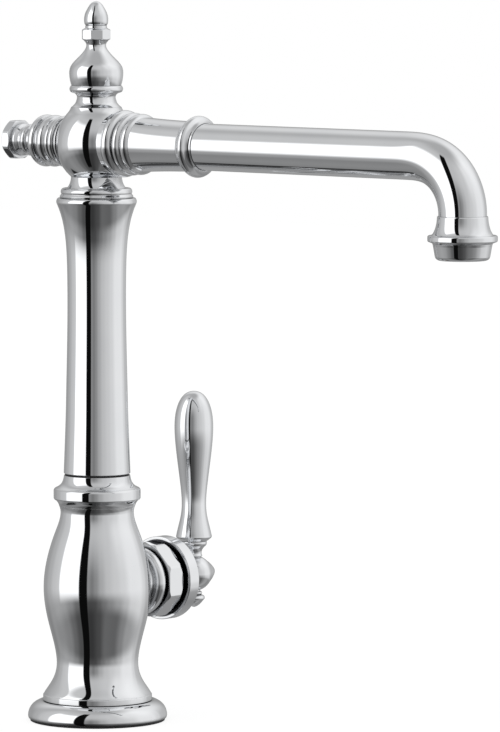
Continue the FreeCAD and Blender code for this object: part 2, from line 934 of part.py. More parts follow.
def make_swivel_clip():
    inner = s.spigot_radius - s.clip_groove_depth + s.seat_clearance
    foot = BODY_TOP + s.clip_rise + s.clip_play
    body = ring("swivel_clip", inner, s.clip_radius, foot, foot + s.clip_thickness)
    opening = new_sketch(body, "clip_opening_section", "XY_Plane", foot)
    draw_path(opening, box_path(-s.clip_opening / 2, s.clip_opening / 2, 0, s.clip_radius + 1))
    pocket(body, opening, s.clip_thickness, True)
    return body


# ---- column and ball ----


def make_column_tube():
    lip_foot = COLUMN_TOP - s.column_lip_height
    curve = shares(
        COLUMN_FOOT + s.column_edge,
        lip_foot,
        [
            (s.column_lower_radius, 0.216),
            (s.column_lower_radius, 0.264),
            (s.column_middle_radius, 0.503),
            (s.column_upper_radius, 0.743),
            (s.column_flare_radius, 0.928),
        ],
    )
    return turned(
        "column_tube",
        [
            (s.column_bore_radius, COLUMN_FOOT),
            (s.column_foot_radius - s.column_edge, COLUMN_FOOT),
            (s.column_foot_radius, COLUMN_FOOT + s.column_edge),
            curve,
            (s.column_lip_radius - 0.2, lip_foot),
            Through((s.column_lip_radius, lip_foot + s.column_lip_height / 2)),
            (s.column_lip_radius - 0.7, COLUMN_TOP),
            (s.column_bore_radius, COLUMN_TOP),
        ],
    )


def make_water_tube():
    foot = COLUMN_FOOT + s.spigot_column_depth - s.water_tube_seat + s.slip_clearance
    top = BALL_FOOT - s.ball_spigot_depth + s.water_tube_seat
    inner = s.water_tube_radius - s.water_tube_wall
    return ring("water_tube", inner, s.water_tube_radius, foot, top)


def water_tube_ring_levels():
    lower = COLUMN_FOOT + s.spigot_column_depth - s.water_tube_seat / 2
    upper = BALL_FOOT - s.ball_spigot_depth + s.water_tube_seat / 2
    return [lower, upper]


def make_neck_ring():
    inner = s.column_bore_radius
    crest = s.neck_ring_radius
    rings = [
        Corner((crest - 0.2, 0)),
        Corner((crest, 0.191)),
        Corner((crest - 0.8, 0.426)),
        Through((crest - 0.5, 0.681)),
        Corner((s.neck_ring_top_radius, 1)),
    ]
    path = [(inner, COLUMN_TOP), *placed(COLUMN_TOP, s.neck_ring_height, rings), (inner, BALL_FOOT)]
    return turned("neck_ring", path)


def ball_section():
    """Half section of the ball with its lower spigot, its necks and the hollow inside."""
    crease = BALL_FOOT + s.ball_neck_height
    shoulder = BALL_TOP - s.ball_crown_height
    neck = [(s.ball_neck_radius + 0.6, 0.3), (s.ball_neck_radius, 0.65)]
    crown = [(s.ball_crown_radius - 0.95, 0.3), (s.ball_top_radius + 0.25, 0.7)]
    spigot_foot = BALL_FOOT - s.ball_spigot_depth
    spigot_radius = s.column_bore_radius - s.seat_clearance
    bore = s.water_tube_radius + s.running_clearance
    hollow_top = BALL_TOP - s.ball_top_bore_depth
    hollow_foot = SPOUT_AXIS * 2 - hollow_top
    return [
        (bore, spigot_foot),
        (spigot_radius, spigot_foot),
        (spigot_radius, BALL_FOOT),
        (s.ball_foot_radius, BALL_FOOT),
        shares(BALL_FOOT, crease, neck),
        (s.ball_neck_radius, crease),
        Through((s.ball_radius, SPOUT_AXIS - 0.3)),
        (s.ball_crown_radius, shoulder),
        shares(shoulder, BALL_TOP, crown),
        (s.ball_top_radius, BALL_TOP),
        (s.ball_top_bore_radius, BALL_TOP),
        (s.ball_top_bore_radius, hollow_top),
        Through((s.ball_radius - s.ball_wall, SPOUT_AXIS)),
        (bore, hollow_foot),
        *ring_groove(spigot_foot + s.water_tube_seat / 2, bore, True),
    ]


def make_ball_tee():
    body = turned("ball_tee", ball_section())
    height = SPOUT_AXIS
    for name, radius, end, forward in (
        ("front_boss", s.front_boss_radius, s.front_boss_end, True),
        ("back_boss", s.back_boss_radius, s.back_boss_end, False),
    ):
        start = s.tube_start * (1 if forward else -1)
        sketch = new_sketch(body, f"{name}_section", "XZ_Plane", start)
        draw_circles(sketch, [(0, height)], radius)
        pad = body.newObject("PartDesign::Pad", name)
        pad.Profile = sketch
        bind(pad, "Length", end - s.tube_start)
        pad.Reversed = not forward
        doc.recompute()
        face = end * (1 if forward else -1)
        reach = s.ball_radius * 1.2
        drill(body, f"{name}_face", "XZ_Plane", [(0, height)], reach, face, reach, forward)
    front = s.tube_radius + s.seat_clearance
    drill(body, "spout_hole", "XZ_Plane", [(0, height)], front, 0, s.front_boss_end, True)
    back = s.plug_screw_radius + s.seat_clearance
    drill(body, "plug_hole", "XZ_Plane", [(0, height)], back, 0, s.back_boss_end, False)
    return body


# ---- finial ----


def make_finial_base():
    spigot = s.ball_top_bore_radius - s.seat_clearance
    spigot_foot = BALL_TOP - s.ball_top_bore_depth
    ring_foot = BULB_FOOT - 3.7
    curve = shares(
        BALL_TOP,
        ring_foot,
        [
            (s.ball_top_radius - 2.0, 0.21),
            (s.finial_base_neck_radius + 0.6, 0.48),
            (s.finial_base_neck_radius, 0.73),
            (s.finial_base_neck_radius + 0.7, 0.94),
        ],
    )
    hole = s.finial_screw_radius + s.seat_clearance
    hole_foot = BULB_FOOT - s.finial_screw_length - s.slip_clearance
    return turned(
        "finial_base",
        [
            (0, spigot_foot),
            (spigot, spigot_foot),
            (spigot, BALL_TOP),
            (s.ball_top_radius - 0.1, BALL_TOP),
            curve,
            (s.finial_base_neck_radius + 1.5, ring_foot),
            (s.finial_base_ring_radius - 0.7, ring_foot + 0.5),
            Through((s.finial_base_ring_radius, ring_foot + 2.0)),
            (s.finial_base_top_radius, BULB_FOOT),
            (hole, BULB_FOOT),
            (hole, hole_foot),
            (0, hole_foot),
        ],
    )


def make_finial_bulb():
    curve = shares(
        BULB_FOOT,
        NUT_FOOT,
        [
            (s.finial_bulb_radius - 0.54, 0.081),
            (s.finial_bulb_radius, 0.247),
            (s.finial_bulb_radius - 0.32, 0.441),
            (s.finial_bulb_radius * 0.643, 0.629),
            (s.finial_bulb_neck_radius + 0.32, 0.819),
            (s.finial_bulb_neck_radius, 0.938),
        ],
    )
    hole = s.finial_tip_screw_radius + s.seat_clearance
    hole_foot = NUT_FOOT - s.finial_screw_length - s.slip_clearance
    return turned(
        "finial_bulb",
        [
            (0, BULB_FOOT - s.finial_screw_length),
            (s.finial_screw_radius, BULB_FOOT - s.finial_screw_length),
            (s.finial_screw_radius, BULB_FOOT),
            (s.finial_base_top_radius, BULB_FOOT),
            curve,
            (s.finial_bulb_top_radius, NUT_FOOT),
            (hole, NUT_FOOT),
            (hole, hole_foot),
            (0, hole_foot),
        ],
    )


def make_finial_nut():
    hole = s.finial_tip_screw_radius + s.seat_clearance
    corner = s.finial_nut_corner_radius
    body = turned(
        "finial_nut",
        [
            (hole, NUT_FOOT),
            (s.finial_bulb_top_radius - 0.2, NUT_FOOT),
            (corner, NUT_FOOT + 0.9),
            (corner, TIP_FOOT - 2.3),
            (s.finial_nut_top_radius, TIP_FOOT - 1.2),
            (s.finial_nut_top_radius, TIP_FOOT - 0.2),
            (s.finial_nut_top_radius - 0.2, TIP_FOOT),
            (hole, TIP_FOOT),
        ],
    )
    cut_octagon(body, "finial_flats", s.finial_nut_across, corner + 1, NUT_FOOT, s.finial_nut_height)
    return body


def make_finial_tip():
    tip = TIP_FOOT + s.finial_tip_height
    foot_edge = TIP_FOOT + 0.7
    screw_foot = NUT_FOOT - s.finial_screw_length
    curve = shares(
        foot_edge,
        tip,
        [
            (s.finial_tip_radius, 0.09),
            (s.finial_tip_radius, 0.4),
            (s.finial_tip_radius * 0.65, 0.73),
            (s.finial_tip_radius * 0.37, 0.965),
        ],
    )
    return turned(
        "finial_tip",
        [
            (0, screw_foot),
            (s.finial_tip_screw_radius, screw_foot),
            (s.finial_tip_screw_radius, TIP_FOOT),
            (s.finial_tip_radius - 0.8, TIP_FOOT),
            (s.finial_tip_radius - 0.3, foot_edge),
            curve,
            (0, tip),
        ],
    )


# ---- spout ----


def make_spout_collar():
    """Three rounded rings against the ball, on the spout's tube."""
    start = s.front_boss_end
    bore = s.tube_radius + s.seat_clearance
    groove = bore + (s.o_ring_radius + s.o_ring_squeeze) * 2
    groove_end = start + (s.o_ring_radius + s.o_ring_squeeze) * 2
    crest = s.spout_collar_radius
    valley = s.spout_collar_groove_radius
    rings = [
        Corner((s.front_boss_radius, 0)),
        Through((crest, 0.209)),
        Corner((s.front_boss_radius - 0.2, 0.411)),
        Corner((valley + 0.3, 0.443)),
        Corner((valley + 0.5, 0.475)),
        Through((crest - 1.2, 0.563)),
        Corner((valley + 0.2, 0.652)),
        Corner((valley - 0.2, 0.684)),
        Corner((valley, 0.722)),
        Through((crest - 1.7, 0.848)),
        Corner((s.sleeve_foot_radius + 0.2, 1)),
    ]
    return turned(
        "spout_collar",
        [
            (groove, start),
            *placed(start, s.spout_collar_length, rings),
            (bore, SLEEVE_START),
            (bore, groove_end),
            (groove, groove_end),
        ],
        "-Y",
        (0, 0, SPOUT_AXIS),
    )


def make_spout_sleeve():
    bore = s.tube_radius + s.seat_clearance
    middle = s.sleeve_end_radius + (s.sleeve_foot_radius - s.sleeve_end_radius) / 2
    curve = shares(
        SLEEVE_START,
        BEAD_START,
        [(middle, 0.25), (s.sleeve_end_radius + 0.2, 0.6)],
    )
    return turned(
        "spout_sleeve",
        [
            (bore, SLEEVE_START),
            (s.sleeve_foot_radius, SLEEVE_START),
            curve,
            (s.sleeve_end_radius, BEAD_START),
            (bore, BEAD_START),
        ],
        "-Y",
        (0, 0, SPOUT_AXIS),
    )


def make_spout_bead():
    bore = s.tube_radius + s.seat_clearance
    crest = s.bead_radius
    bead = [
        Corner((s.sleeve_end_radius + 0.1, 0)),
        Through((s.sleeve_end_radius + 0.5, 0.169)),
        Corner((crest - 1.3, 0.275)),
        Through((crest, 0.5)),
        Corner((crest - 1.3, 0.725)),
        Through((s.bead_end_radius + 0.6, 0.843)),
        Corner((s.bead_end_radius, 1)),
    ]
    end = BEAD_START + s.bead_length
    return turned(
        "spout_bead",
        [(bore, BEAD_START), *placed(BEAD_START, s.bead_length, bead), (bore, end)],
        "-Y",
        (0, 0, SPOUT_AXIS),
    )


def make_spout_tube():
    """Tube along the spout's axis with one bend down to the outlet."""
    body = new_body("spout_tube")
    height = SPOUT_AXIS
    bend = s.spout_bend_radius
    inset = bend * math.sin(math.radians(45))
    route = new_sketch(body, "spout_route", "YZ_Plane")
    draw_path(
        route,
        [
            (-s.tube_start, height),
            (-BEND_START, height),
            Through((-BEND_START - inset, height - bend + inset)),
            (-s.spout_reach, height - bend),
            (-s.spout_reach, TUBE_END),
        ],
        closed=False,
    )
    for kind, name, radius in (
        ("PartDesign::AdditivePipe", "tube_outside", s.tube_radius),
        ("PartDesign::SubtractivePipe", "tube_inside", s.tube_radius - s.tube_wall),
    ):
        section = new_sketch(body, f"{name}_section", "XZ_Plane", s.tube_start)
        draw_circles(section, [(0, height)], radius)
        pipe = body.newObject(kind, name)
        pipe.Profile = section
        pipe.Spine = (route, ["Edge1", "Edge2", "Edge3"])
        doc.recompute()
    return body


# ---- outlet ----


def make_outlet_ferrule():
    """Bell and ring at the tube's end, screwed inside for the aerator."""
    ring_top = CUP_TOP + 0.7 + s.ferrule_ring_height
    ring_middle = CUP_TOP + 0.7 + s.ferrule_ring_height / 2
    bore = s.tube_radius + s.seat_clearance
    screw = s.cup_screw_radius + s.seat_clearance
    curve = shares(
        FERRULE_TOP - 0.4,
        ring_top,
        [(s.ferrule_top_radius + 0.1, 0.45), (s.ferrule_neck_radius - 1.1, 0.85)],
    )
    return turned(
        "outlet_ferrule",
        [
            (bore, FERRULE_TOP),
            (s.ferrule_top_radius - 0.2, FERRULE_TOP),
            (s.ferrule_top_radius, FERRULE_TOP - 0.4),
            curve,
            (s.ferrule_neck_radius, ring_top),
            (s.ferrule_ring_radius - 0.9, ring_top - 0.1),
            Through((s.ferrule_ring_radius, ring_middle)),
            (s.ferrule_ring_radius - 0.9, CUP_TOP + 0.8),
            (s.cup_top_radius, CUP_TOP),
            (screw, CUP_TOP),
            (screw, TUBE_END),
            (bore, TUBE_END),
        ],
        "+Z",
        (0, -s.spout_reach, 0),
    )


def make_aerator_shell():
    foot = OUTLET
    rounding_top = foot + s.cup_rounding
    return turned(
        "aerator_shell",
        [
            (s.cup_lip_radius, foot),
            (s.cup_foot_radius - s.cup_rounding, foot),
            Through((s.cup_foot_radius - s.cup_rounding * 0.25, foot + s.cup_rounding * 0.35)),
            (s.cup_foot_radius + 0.1, rounding_top),
            (s.cup_top_radius - 0.3, CUP_TOP - 1.2),
            (s.cup_top_radius, CUP_TOP),
            (s.cup_screw_radius, CUP_TOP),
            (s.cup_screw_radius, WASHER_FOOT),
            (s.cup_bore_radius, WASHER_FOOT),
            (s.cup_bore_radius, foot + s.cup_lip_height),
            (s.cup_lip_radius, foot + s.cup_lip_height),
        ],
        "+Z",
        (0, -s.spout_reach, 0),
    )


def honeycomb(rings, spacing):
    """Centres of a honeycomb of holes: one in the middle, and rings of six, twelve and so on."""
    centres = [(0, 0)]
    for count in range(1, rings + 1):
        for side in range(6):
            start = math.radians(60 * side)
            run = math.radians(60 * side + 120)
            for step in range(count):
                across = count * math.cos(start) + step * math.cos(run)
                along = count * math.sin(start) + step * math.sin(run)
                centres.append((spacing * round(across, 6), spacing * round(along, 6)))
    return centres


def make_perforated_disc(name, foot, height, hole_radius):
    at = (0, -s.spout_reach, 0)
    radius = s.cup_bore_radius - s.seat_clearance
    body = turned(name, [(0, foot), (radius, foot), (radius, foot + height), (0, foot + height)], "+Z", at)
    centres = honeycomb(3, s.insert_hole_spacing)
    drill(body, f"{name}_holes", "XY_Plane", centres, hole_radius, foot, height, True)
    return body


def make_aerator_insert():
    foot = OUTLET + s.cup_lip_height
    return make_perforated_disc("aerator_insert", foot, s.insert_height, s.insert_hole_radius)


def make_aerator_screen():
    foot = OUTLET + s.cup_lip_height + s.insert_height
    return make_perforated_disc("aerator_screen", foot, s.screen_thickness, s.screen_hole_radius)


def make_aerator_washer():
    inner = s.outlet_washer_bore_radius
    at = (0, -s.spout_reach, 0)
    return ring("aerator_washer", inner, s.cup_screw_radius, WASHER_FOOT, TUBE_END, "+Z", at)


# ---- plug at the back of the ball ----


def make_back_collar():
    start = s.back_boss_end
    end = start + s.back_collar_length
    bore = s.plug_screw_radius + s.seat_clearance
    groove = bore + (s.o_ring_radius + s.o_ring_squeeze) * 2
    groove_end = start + (s.o_ring_radius + s.o_ring_squeeze) * 2
    valley = s.back_collar_groove_radius
    crest = s.back_collar_radius
    rings = [
        Corner((crest - 0.6, 0)),
        Through((crest - 0.7, 0.055)),
        Corner((valley, 0.104)),
        Through((crest - 0.2, 0.198)),
        Corner((valley, 0.291)),
        Through((crest - 0.9, 0.363)),
        Corner((valley, 0.434)),
        Through((crest - 0.1, 0.571)),
        Corner((valley, 0.7)),
        Corner((valley, 0.758)),
        Corner((crest - 0.4, 0.785)),
        Through((crest, 0.879)),
        Corner((crest - 0.5, 0.951)),
        Corner((crest - 2.0, 1)),
    ]
    return turned(
        "back_collar",
        [
            (groove, start),
            *placed(start, s.back_collar_length, rings),
            (bore, end),
            (bore, groove_end),
            (groove, groove_end),
        ],
        "+Y",
        (0, 0, SPOUT_AXIS),
    )


def make_back_plug():
    """Screwed plug with a ringed neck and an eight-sided head."""
    neck = s.back_boss_end + s.back_collar_length
    head = neck + s.plug_neck_length
    end = head + s.plug_head_length
    corner = s.plug_head_corner_radius
    slim = s.plug_neck_radius
    crest = s.plug_ring_radius
    rings = [
        Corner((slim + 0.6, 0)),
        Corner((slim, 0.089)),
        Corner((slim, 0.38)),
        Corner((crest - 0.6, 0.418)),
        Through((crest, 0.519)),
        Corner((crest - 0.6, 0.62)),
        Corner((slim, 0.671)),
        Corner((slim, 0.772)),
        Corner((crest, 0.848)),
        Corner((crest, 1)),
    ]
    body = turned(
        "back_plug",
        [
            (0, s.plug_screw_start),
            (s.plug_screw_radius, s.plug_screw_start),
            (s.plug_screw_radius, neck),
            *placed(neck, s.plug_neck_length, rings),
            (corner - 0.6, head),
            (corner, head + 0.6),
            (corner, end - 0.6),
            (corner - 0.8, end),
            (0, end + 0.4),
        ],
        "+Y",
        (0, 0, SPOUT_AXIS),
    )
    cut_octagon(body, "plug_flats", s.plug_head_across, corner + 1, head, s.plug_head_length + 1)
    return body


# ---- valve ----


def make_bonnet_nut():
    """Eight-sided nut on the body's boss, that holds the cartridge in."""
    length = s.bonnet_length
    bore = s.boss_screw_radius + s.seat_clearance
    lip = SHELL_END - s.boss_ring_end
    corner = s.bonnet_corner_radius
    body = turned(
        "bonnet_nut",
        [
            (bore, 0),
            (corner - 0.7, 0),
            (corner, 0.7),
            (corner, length - 3.2),
            Through((corner - 1.2, length - 1.5)),
            (s.bonnet_face_radius, length),
            (s.bonnet_opening_radius, length),
            (s.bonnet_opening_radius, lip),
            (bore, lip),
        ],
        "+X",
        (s.boss_ring_end, 0, s.valve_height),
    )
    cut_octagon(body, "bonnet_flats", s.bonnet_across, corner + 1, 0, length)
    return body


def drill_ports(body, name, lift, depth):
    """The three ways for water, with the same radii as in the mixing block."""
    inlets, outlet = port_centres()
    drill(body, f"{name}_inlets", "XY_Plane", inlets, s.inlet_port_radius, lift, depth, True)
    drill(body, f"{name}_outlet", "XY_Plane", outlet, s.outlet_port_radius, lift, depth, True)


def make_cartridge_shell():
    length = SHELL_END - s.block_end
    outer = s.boss_bore_radius - s.running_clearance
    lip_foot = length - s.shell_lip
    body = turned(
        "cartridge_shell",
        [
            (0, 0),
            (outer, 0),
            (outer, length),
            (s.shell_lip_radius, length),
            (s.shell_lip_radius, lip_foot),
            (s.shell_bore_radius, lip_foot),
            (s.shell_bore_radius, s.shell_floor),
            (0, s.shell_floor),
        ],
        "+X",
        (s.block_end, 0, s.valve_height),
    )
    inlets, outlet = port_centres()
    recess = s.outlet_port_radius + s.seal_width
    drill(body, "seal_recesses", "XY_Plane", inlets + outlet, recess, 0, s.seal_thickness, True)
    drill_ports(body, "shell", 0, s.shell_floor)
    return body


def make_port_seals():
    inlets, outlet = port_centres()
    outer = s.outlet_port_radius + s.seal_width - s.seat_clearance
    seals = []
    for number, (down, across) in enumerate(inlets + outlet, start=1):
        at = (s.block_end, across, s.valve_height - down)
        inner = s.outlet_port_radius
        seals.append(ring(f"port_seal_{number}", inner, outer, 0, s.seal_thickness, "+X", at))
    return grouped("port_seals", seals)


def make_fixed_ceramic_disc():
    outer = s.shell_bore_radius - s.slip_clearance
    thickness = s.fixed_disc_thickness
    path = [(0, 0), (outer, 0), (outer, thickness), (0, thickness)]
    body = turned("fixed_ceramic_disc", path, "+X", (FIXED_DISC_START, 0, s.valve_height))
    drill_ports(body, "fixed_disc", 0, thickness)
    return body


def make_moving_ceramic_disc():
    """Slides and turns on the fixed disc. Its recess joins the ports when the valve is open."""
    thickness = s.moving_disc_thickness
    path = [(0, 0), (s.moving_disc_radius, 0), (s.moving_disc_radius, thickness), (0, thickness)]
    body = turned("moving_ceramic_disc", path, "+X", (MOVING_DISC_START, 0, s.valve_height))
    recess = [(s.mixing_recess_drop, 0)]
    depth = s.mixing_recess_depth
    drill(body, "mixing_recess", "XY_Plane", recess, s.mixing_recess_radius, 0, depth, True)
    return body


def make_disc_slider():
    """Carries the moving disc, with a slot for the ball at the stem's tail."""
    height = s.slider_height
    path = [(0, 0), (s.slider_radius, 0), (s.slider_radius, height), (0, height)]
    body = turned("disc_slider", path, "+X", (SLIDER_START, 0, s.valve_height))
    half = s.tail_radius + s.tail_play
    floor = TAIL_CENTRE - s.tail_radius - s.carrier_gap - SLIDER_START
    slot = new_sketch(body, "tail_slot_section", "XY_Plane", floor)
    draw_path(slot, box_path(-half, half, -half, half))
    pocket(body, slot, height - floor, True)
    return body


def make_cartridge_carrier():
    """Turns in the shell, and carries the stem's pivot. Its slot lets the stem tilt."""
    radius = s.shell_bore_radius - s.carrier_clearance
    length = s.carrier_length
    path = [(0, 0), (radius, 0), (radius, length), (0, length)]
    body = turned("cartridge_carrier", path, "+X", (CARRIER_START, 0, s.valve_height))
    slot = new_sketch(body, "stem_slot_section", "XY_Plane")
    half = s.carrier_slot_width / 2
    draw_path(slot, box_path(-s.carrier_slot_up, s.carrier_slot_down, -half, half))
    pocket(body, slot, length, True)
    centre = [(0, s.pivot_offset - CARRIER_START)]
    hole = s.pivot_pin_radius + s.pin_clearance
    half_pin = s.pivot_pin_length / 2
    drill(body, "pivot_hole", "XZ_Plane", centre, hole, -half_pin, s.pivot_pin_length, True)
    return body


def make_stem_pivot_pin():
    half = s.pivot_pin_length / 2
    path = [(0, -half), (s.pivot_pin_radius, -half), (s.pivot_pin_radius, half), (0, half)]
    return turned("stem_pivot_pin", path, "+Y", (s.pivot_offset, 0, s.valve_height))


def make_cartridge_stem():
    """Square lever on the pivot, with a ball at its tail and the handle on its outer end."""
    start = TAIL_CENTRE - s.tail_radius
    neck_start = s.tail_radius * 1.7
    shaft_start = s.stem_start - start
    body = turned(
        "cartridge_stem",
        [
            (0, 0),
            Through((s.tail_radius, s.tail_radius)),
            (s.tail_radius * math.sqrt(1 - 0.7**2), neck_start),
            (s.tail_neck_radius, neck_start + 0.1),
            (s.tail_neck_radius, shaft_start + 0.5),
            (0, shaft_start + 0.5),
        ],
        "+X",
        (start, 0, s.valve_height),
    )
    section = new_sketch(body, "stem_section", "XY_Plane", shaft_start)
    half_depth = s.stem_depth / 2
    half_width = s.stem_width / 2
    draw_path(section, box_path(-half_depth, half_depth, -half_width, half_width))
    shaft = body.newObject("PartDesign::Pad", "stem_shaft")
    shaft.Profile = section
    bind(shaft, "Length", s.stem_end - s.stem_start)
    doc.recompute()
    centre = [(0, s.pivot_offset - start)]
    hole = s.pivot_pin_radius + s.running_clearance
    drill(body, "stem_pivot_hole", "XZ_Plane", centre, hole, -s.stem_width, s.stem_width * 2, True)
    return body


# ---- handle ----


def make_handle_disc():
    thickness = s.disc_thickness
    bore = s.hub_shank_radius + s.seat_clearance
    front = thickness + s.disc_crown
    edge = s.disc_edge
    crown = shares(
        s.disc_radius - edge,
        s.hub_shoulder_radius,
        [(thickness + s.disc_crown * 0.5, 0.25), (front, 0.6)],
    )
    return turned(
        "handle_disc",
        [
            (s.disc_recess_radius, 0),
            *rounded(s.disc_radius, 0, edge * 0.6, LEFT, UP),
            *rounded(s.disc_radius, thickness, edge, DOWN, LEFT),
            [(radius, level) for level, radius in crown],
            (s.hub_shoulder_radius, front),
            (bore, front),
            (bore, s.disc_recess_depth),
            (s.disc_recess_radius, s.disc_recess_depth),
        ],
        "+X",
        (s.disc_offset, 0, s.valve_height),
    )


def make_handle_hub():
    """Neck, ball and pointed end on the stem. Its own X axis points down."""
    start = s.hub_start
    shoulder = DISC_SHOULDER - start
    centre = s.lever_offset - start
    tip = s.hub_tip_offset - start
    ball = s.hub_ball_radius
    neck_end = centre - ball * 0.82
    ball_end = centre + ball * 0.6
    waist = shares(shoulder + 1.6, neck_end, [(s.hub_waist_radius + 0.2, 0.35), (s.hub_waist_radius, 0.7)])
    point_curve = shares(ball_end, tip, [(ball * 0.55, 0.3), (ball * 0.3, 0.55), (ball * 0.17, 0.95)])
    body = turned(
        "handle_hub",
        [
            (0, 0),
            (s.hub_shank_radius, 0),
            (s.hub_shank_radius, shoulder),
            (s.hub_shoulder_radius, shoulder),
            (s.hub_shoulder_radius - 0.2, shoulder + 1.6),
            waist,
            (ball * math.sqrt(1 - 0.82**2), neck_end),
            Through((ball, centre)),
            (ball * 0.8, ball_end),
            point_curve,
            (0, tip),
        ],
        "+X",
        (start, 0, s.valve_height),
    )
    flat = new_sketch(body, "hub_flats_section", "XY_Plane", centre - ball)
    for side in (-1, 1):
        near = s.hub_flat_rise * side
        far = (s.hub_flat_rise + ball) * side
        draw_path(flat, box_path(near, far, -ball, ball))
    pocket(body, flat, ball * 2, True)
    socket = new_sketch(body, "stem_socket_section", "XY_Plane")
    half_depth = s.stem_depth / 2 + s.stem_play
    half_width = s.stem_width / 2 + s.stem_play
    draw_path(socket, box_path(-half_depth, half_depth, -half_width, half_width))
    pocket(body, socket, s.stem_end - start + s.slip_clearance, True)
    seat = [(0, centre)]
    lever_hole = s.lever_screw_radius + s.seat_clearance
    lever_depth = s.hub_flat_rise - s.lever_screw_depth - s.slip_clearance
    drill(body, "lever_hole", "YZ_Plane", seat, lever_hole, -lever_depth, ball, False)
    knob_hole = s.knob_screw_radius + s.seat_clearance
    knob_depth = s.hub_flat_rise - s.knob_screw_length - s.slip_clearance
    drill(body, "knob_hole", "YZ_Plane", seat, knob_hole, knob_depth, ball, True)
    screw_seat = [(0, s.set_screw_offset - start)]
    screw_hole = s.set_screw_radius + s.seat_clearance
    drill(body, "set_screw_hole", "YZ_Plane", screw_seat, screw_hole, 0, ball, True)
    return body


def make_handle_set_screw():
    """Grub screw from below, with a hexagonal socket, that grips the stem."""
    top = s.valve_height - s.stem_depth / 2
    radius = s.set_screw_radius
    at = (s.set_screw_offset, 0, top - s.set_screw_length)
    path = [(0, 0), (radius, 0), (radius, s.set_screw_length), (0, s.set_screw_length)]
    body = turned("handle_set_screw", path, "+Z", at)
    key = radius * 0.55
    corners = [math.radians(60 * corner) for corner in range(6)]
    hexagon = [(key * round(math.cos(turn), 6), key * round(math.sin(turn), 6)) for turn in corners]
    sketch = new_sketch(body, "key_section", "XY_Plane")
    draw_path(sketch, hexagon)
    pocket(body, sketch, s.set_screw_length / 2, True)
    return body


def make_lever_ferrule():
    """Ringed neck between the hub's ball and the lever."""
    foot = FERRULE_FOOT
    length = s.ferrule_length
    neck = s.lever_ferrule_neck_radius
    crest = s.lever_ferrule_ring_radius
    bore = s.lever_screw_radius + s.seat_clearance
    below = [Corner((neck - 0.1, 0)), Corner((neck + 0.3, 0.057)), Corner((neck, 0.159))]
    above = [Corner((neck + 2.0, 0.716)), Through((crest, 0.841)), Corner((crest - 0.3, 1))]
    return turned(
        "lever_ferrule",
        [
            (bore, foot),
            *placed(foot, length, below),
            shares(foot, LEVER_FOOT, [(neck, 0.386), (neck + 0.5, 0.523)]),
            *placed(foot, length, above),
            (bore, LEVER_FOOT),
        ],
        "+Z",
        (s.lever_offset, 0, 0),
    )


def make_lever():
    foot = LEVER_FOOT
    top = foot + s.lever_length
    flare_top = foot + 2.6
    screw_foot = FERRULE_FOOT - s.lever_screw_depth
    curve = shares(
        flare_top,
        top,
        [
            (s.lever_foot_radius - 0.76, 0.049),
            (s.lever_waist_radius, 0.144),
            (s.lever_waist_radius, 0.278),
            (s.lever_waist_radius + 2.21, 0.504),
            (s.lever_swell_radius, 0.786),
            (s.lever_swell_radius * 0.712, 0.954),
            (s.lever_swell_radius * 0.293, 1.0),
        ],
    )
    return turned(
        "lever",
        [
            (0, screw_foot),
            (s.lever_screw_radius, screw_foot),
            (s.lever_screw_radius, foot),
            (s.lever_foot_radius - 2.0, foot),
            (s.lever_foot_radius - 0.5, foot + 1.2),
            Through((s.lever_foot_radius, foot + 2.0)),
            (s.lever_foot_radius - 0.1, flare_top),
            curve,
            (0, top),
        ],
        "+Z",
        (s.lever_offset, 0, 0),
    )


def make_lower_knob():
    """Small turned knob under the hub."""
    top = KNOB_TOP
    tip = top - s.knob_length
    screw_top = top + s.knob_screw_length
    neck = s.knob_neck_radius
    crest = s.knob_radius
    turning = [
        Corner((neck + 0.5, 0)),
        Corner((neck, 0.085)),
        Corner((neck + 0.3, 0.17)),
        Through((s.knob_bead_radius, 0.255)),
        Corner((s.knob_bead_radius - 0.2, 0.33)),
        Corner((crest - 0.7, 0.362)),
        Through((crest, 0.479)),
        Corner((crest - 0.6, 0.617)),
    ]
    return turned(
        "lower_knob",
        [
            (0, screw_top),
            (s.knob_screw_radius, screw_top),
            (s.knob_screw_radius, top),
            *placed(top, -s.knob_length, turning),
            shares(top, tip, [(crest - 1.6, 0.766), (neck - 1.0, 0.968)]),
            (0, tip),
        ],
        "+Z",
        (s.lever_offset, 0, 0),
    )


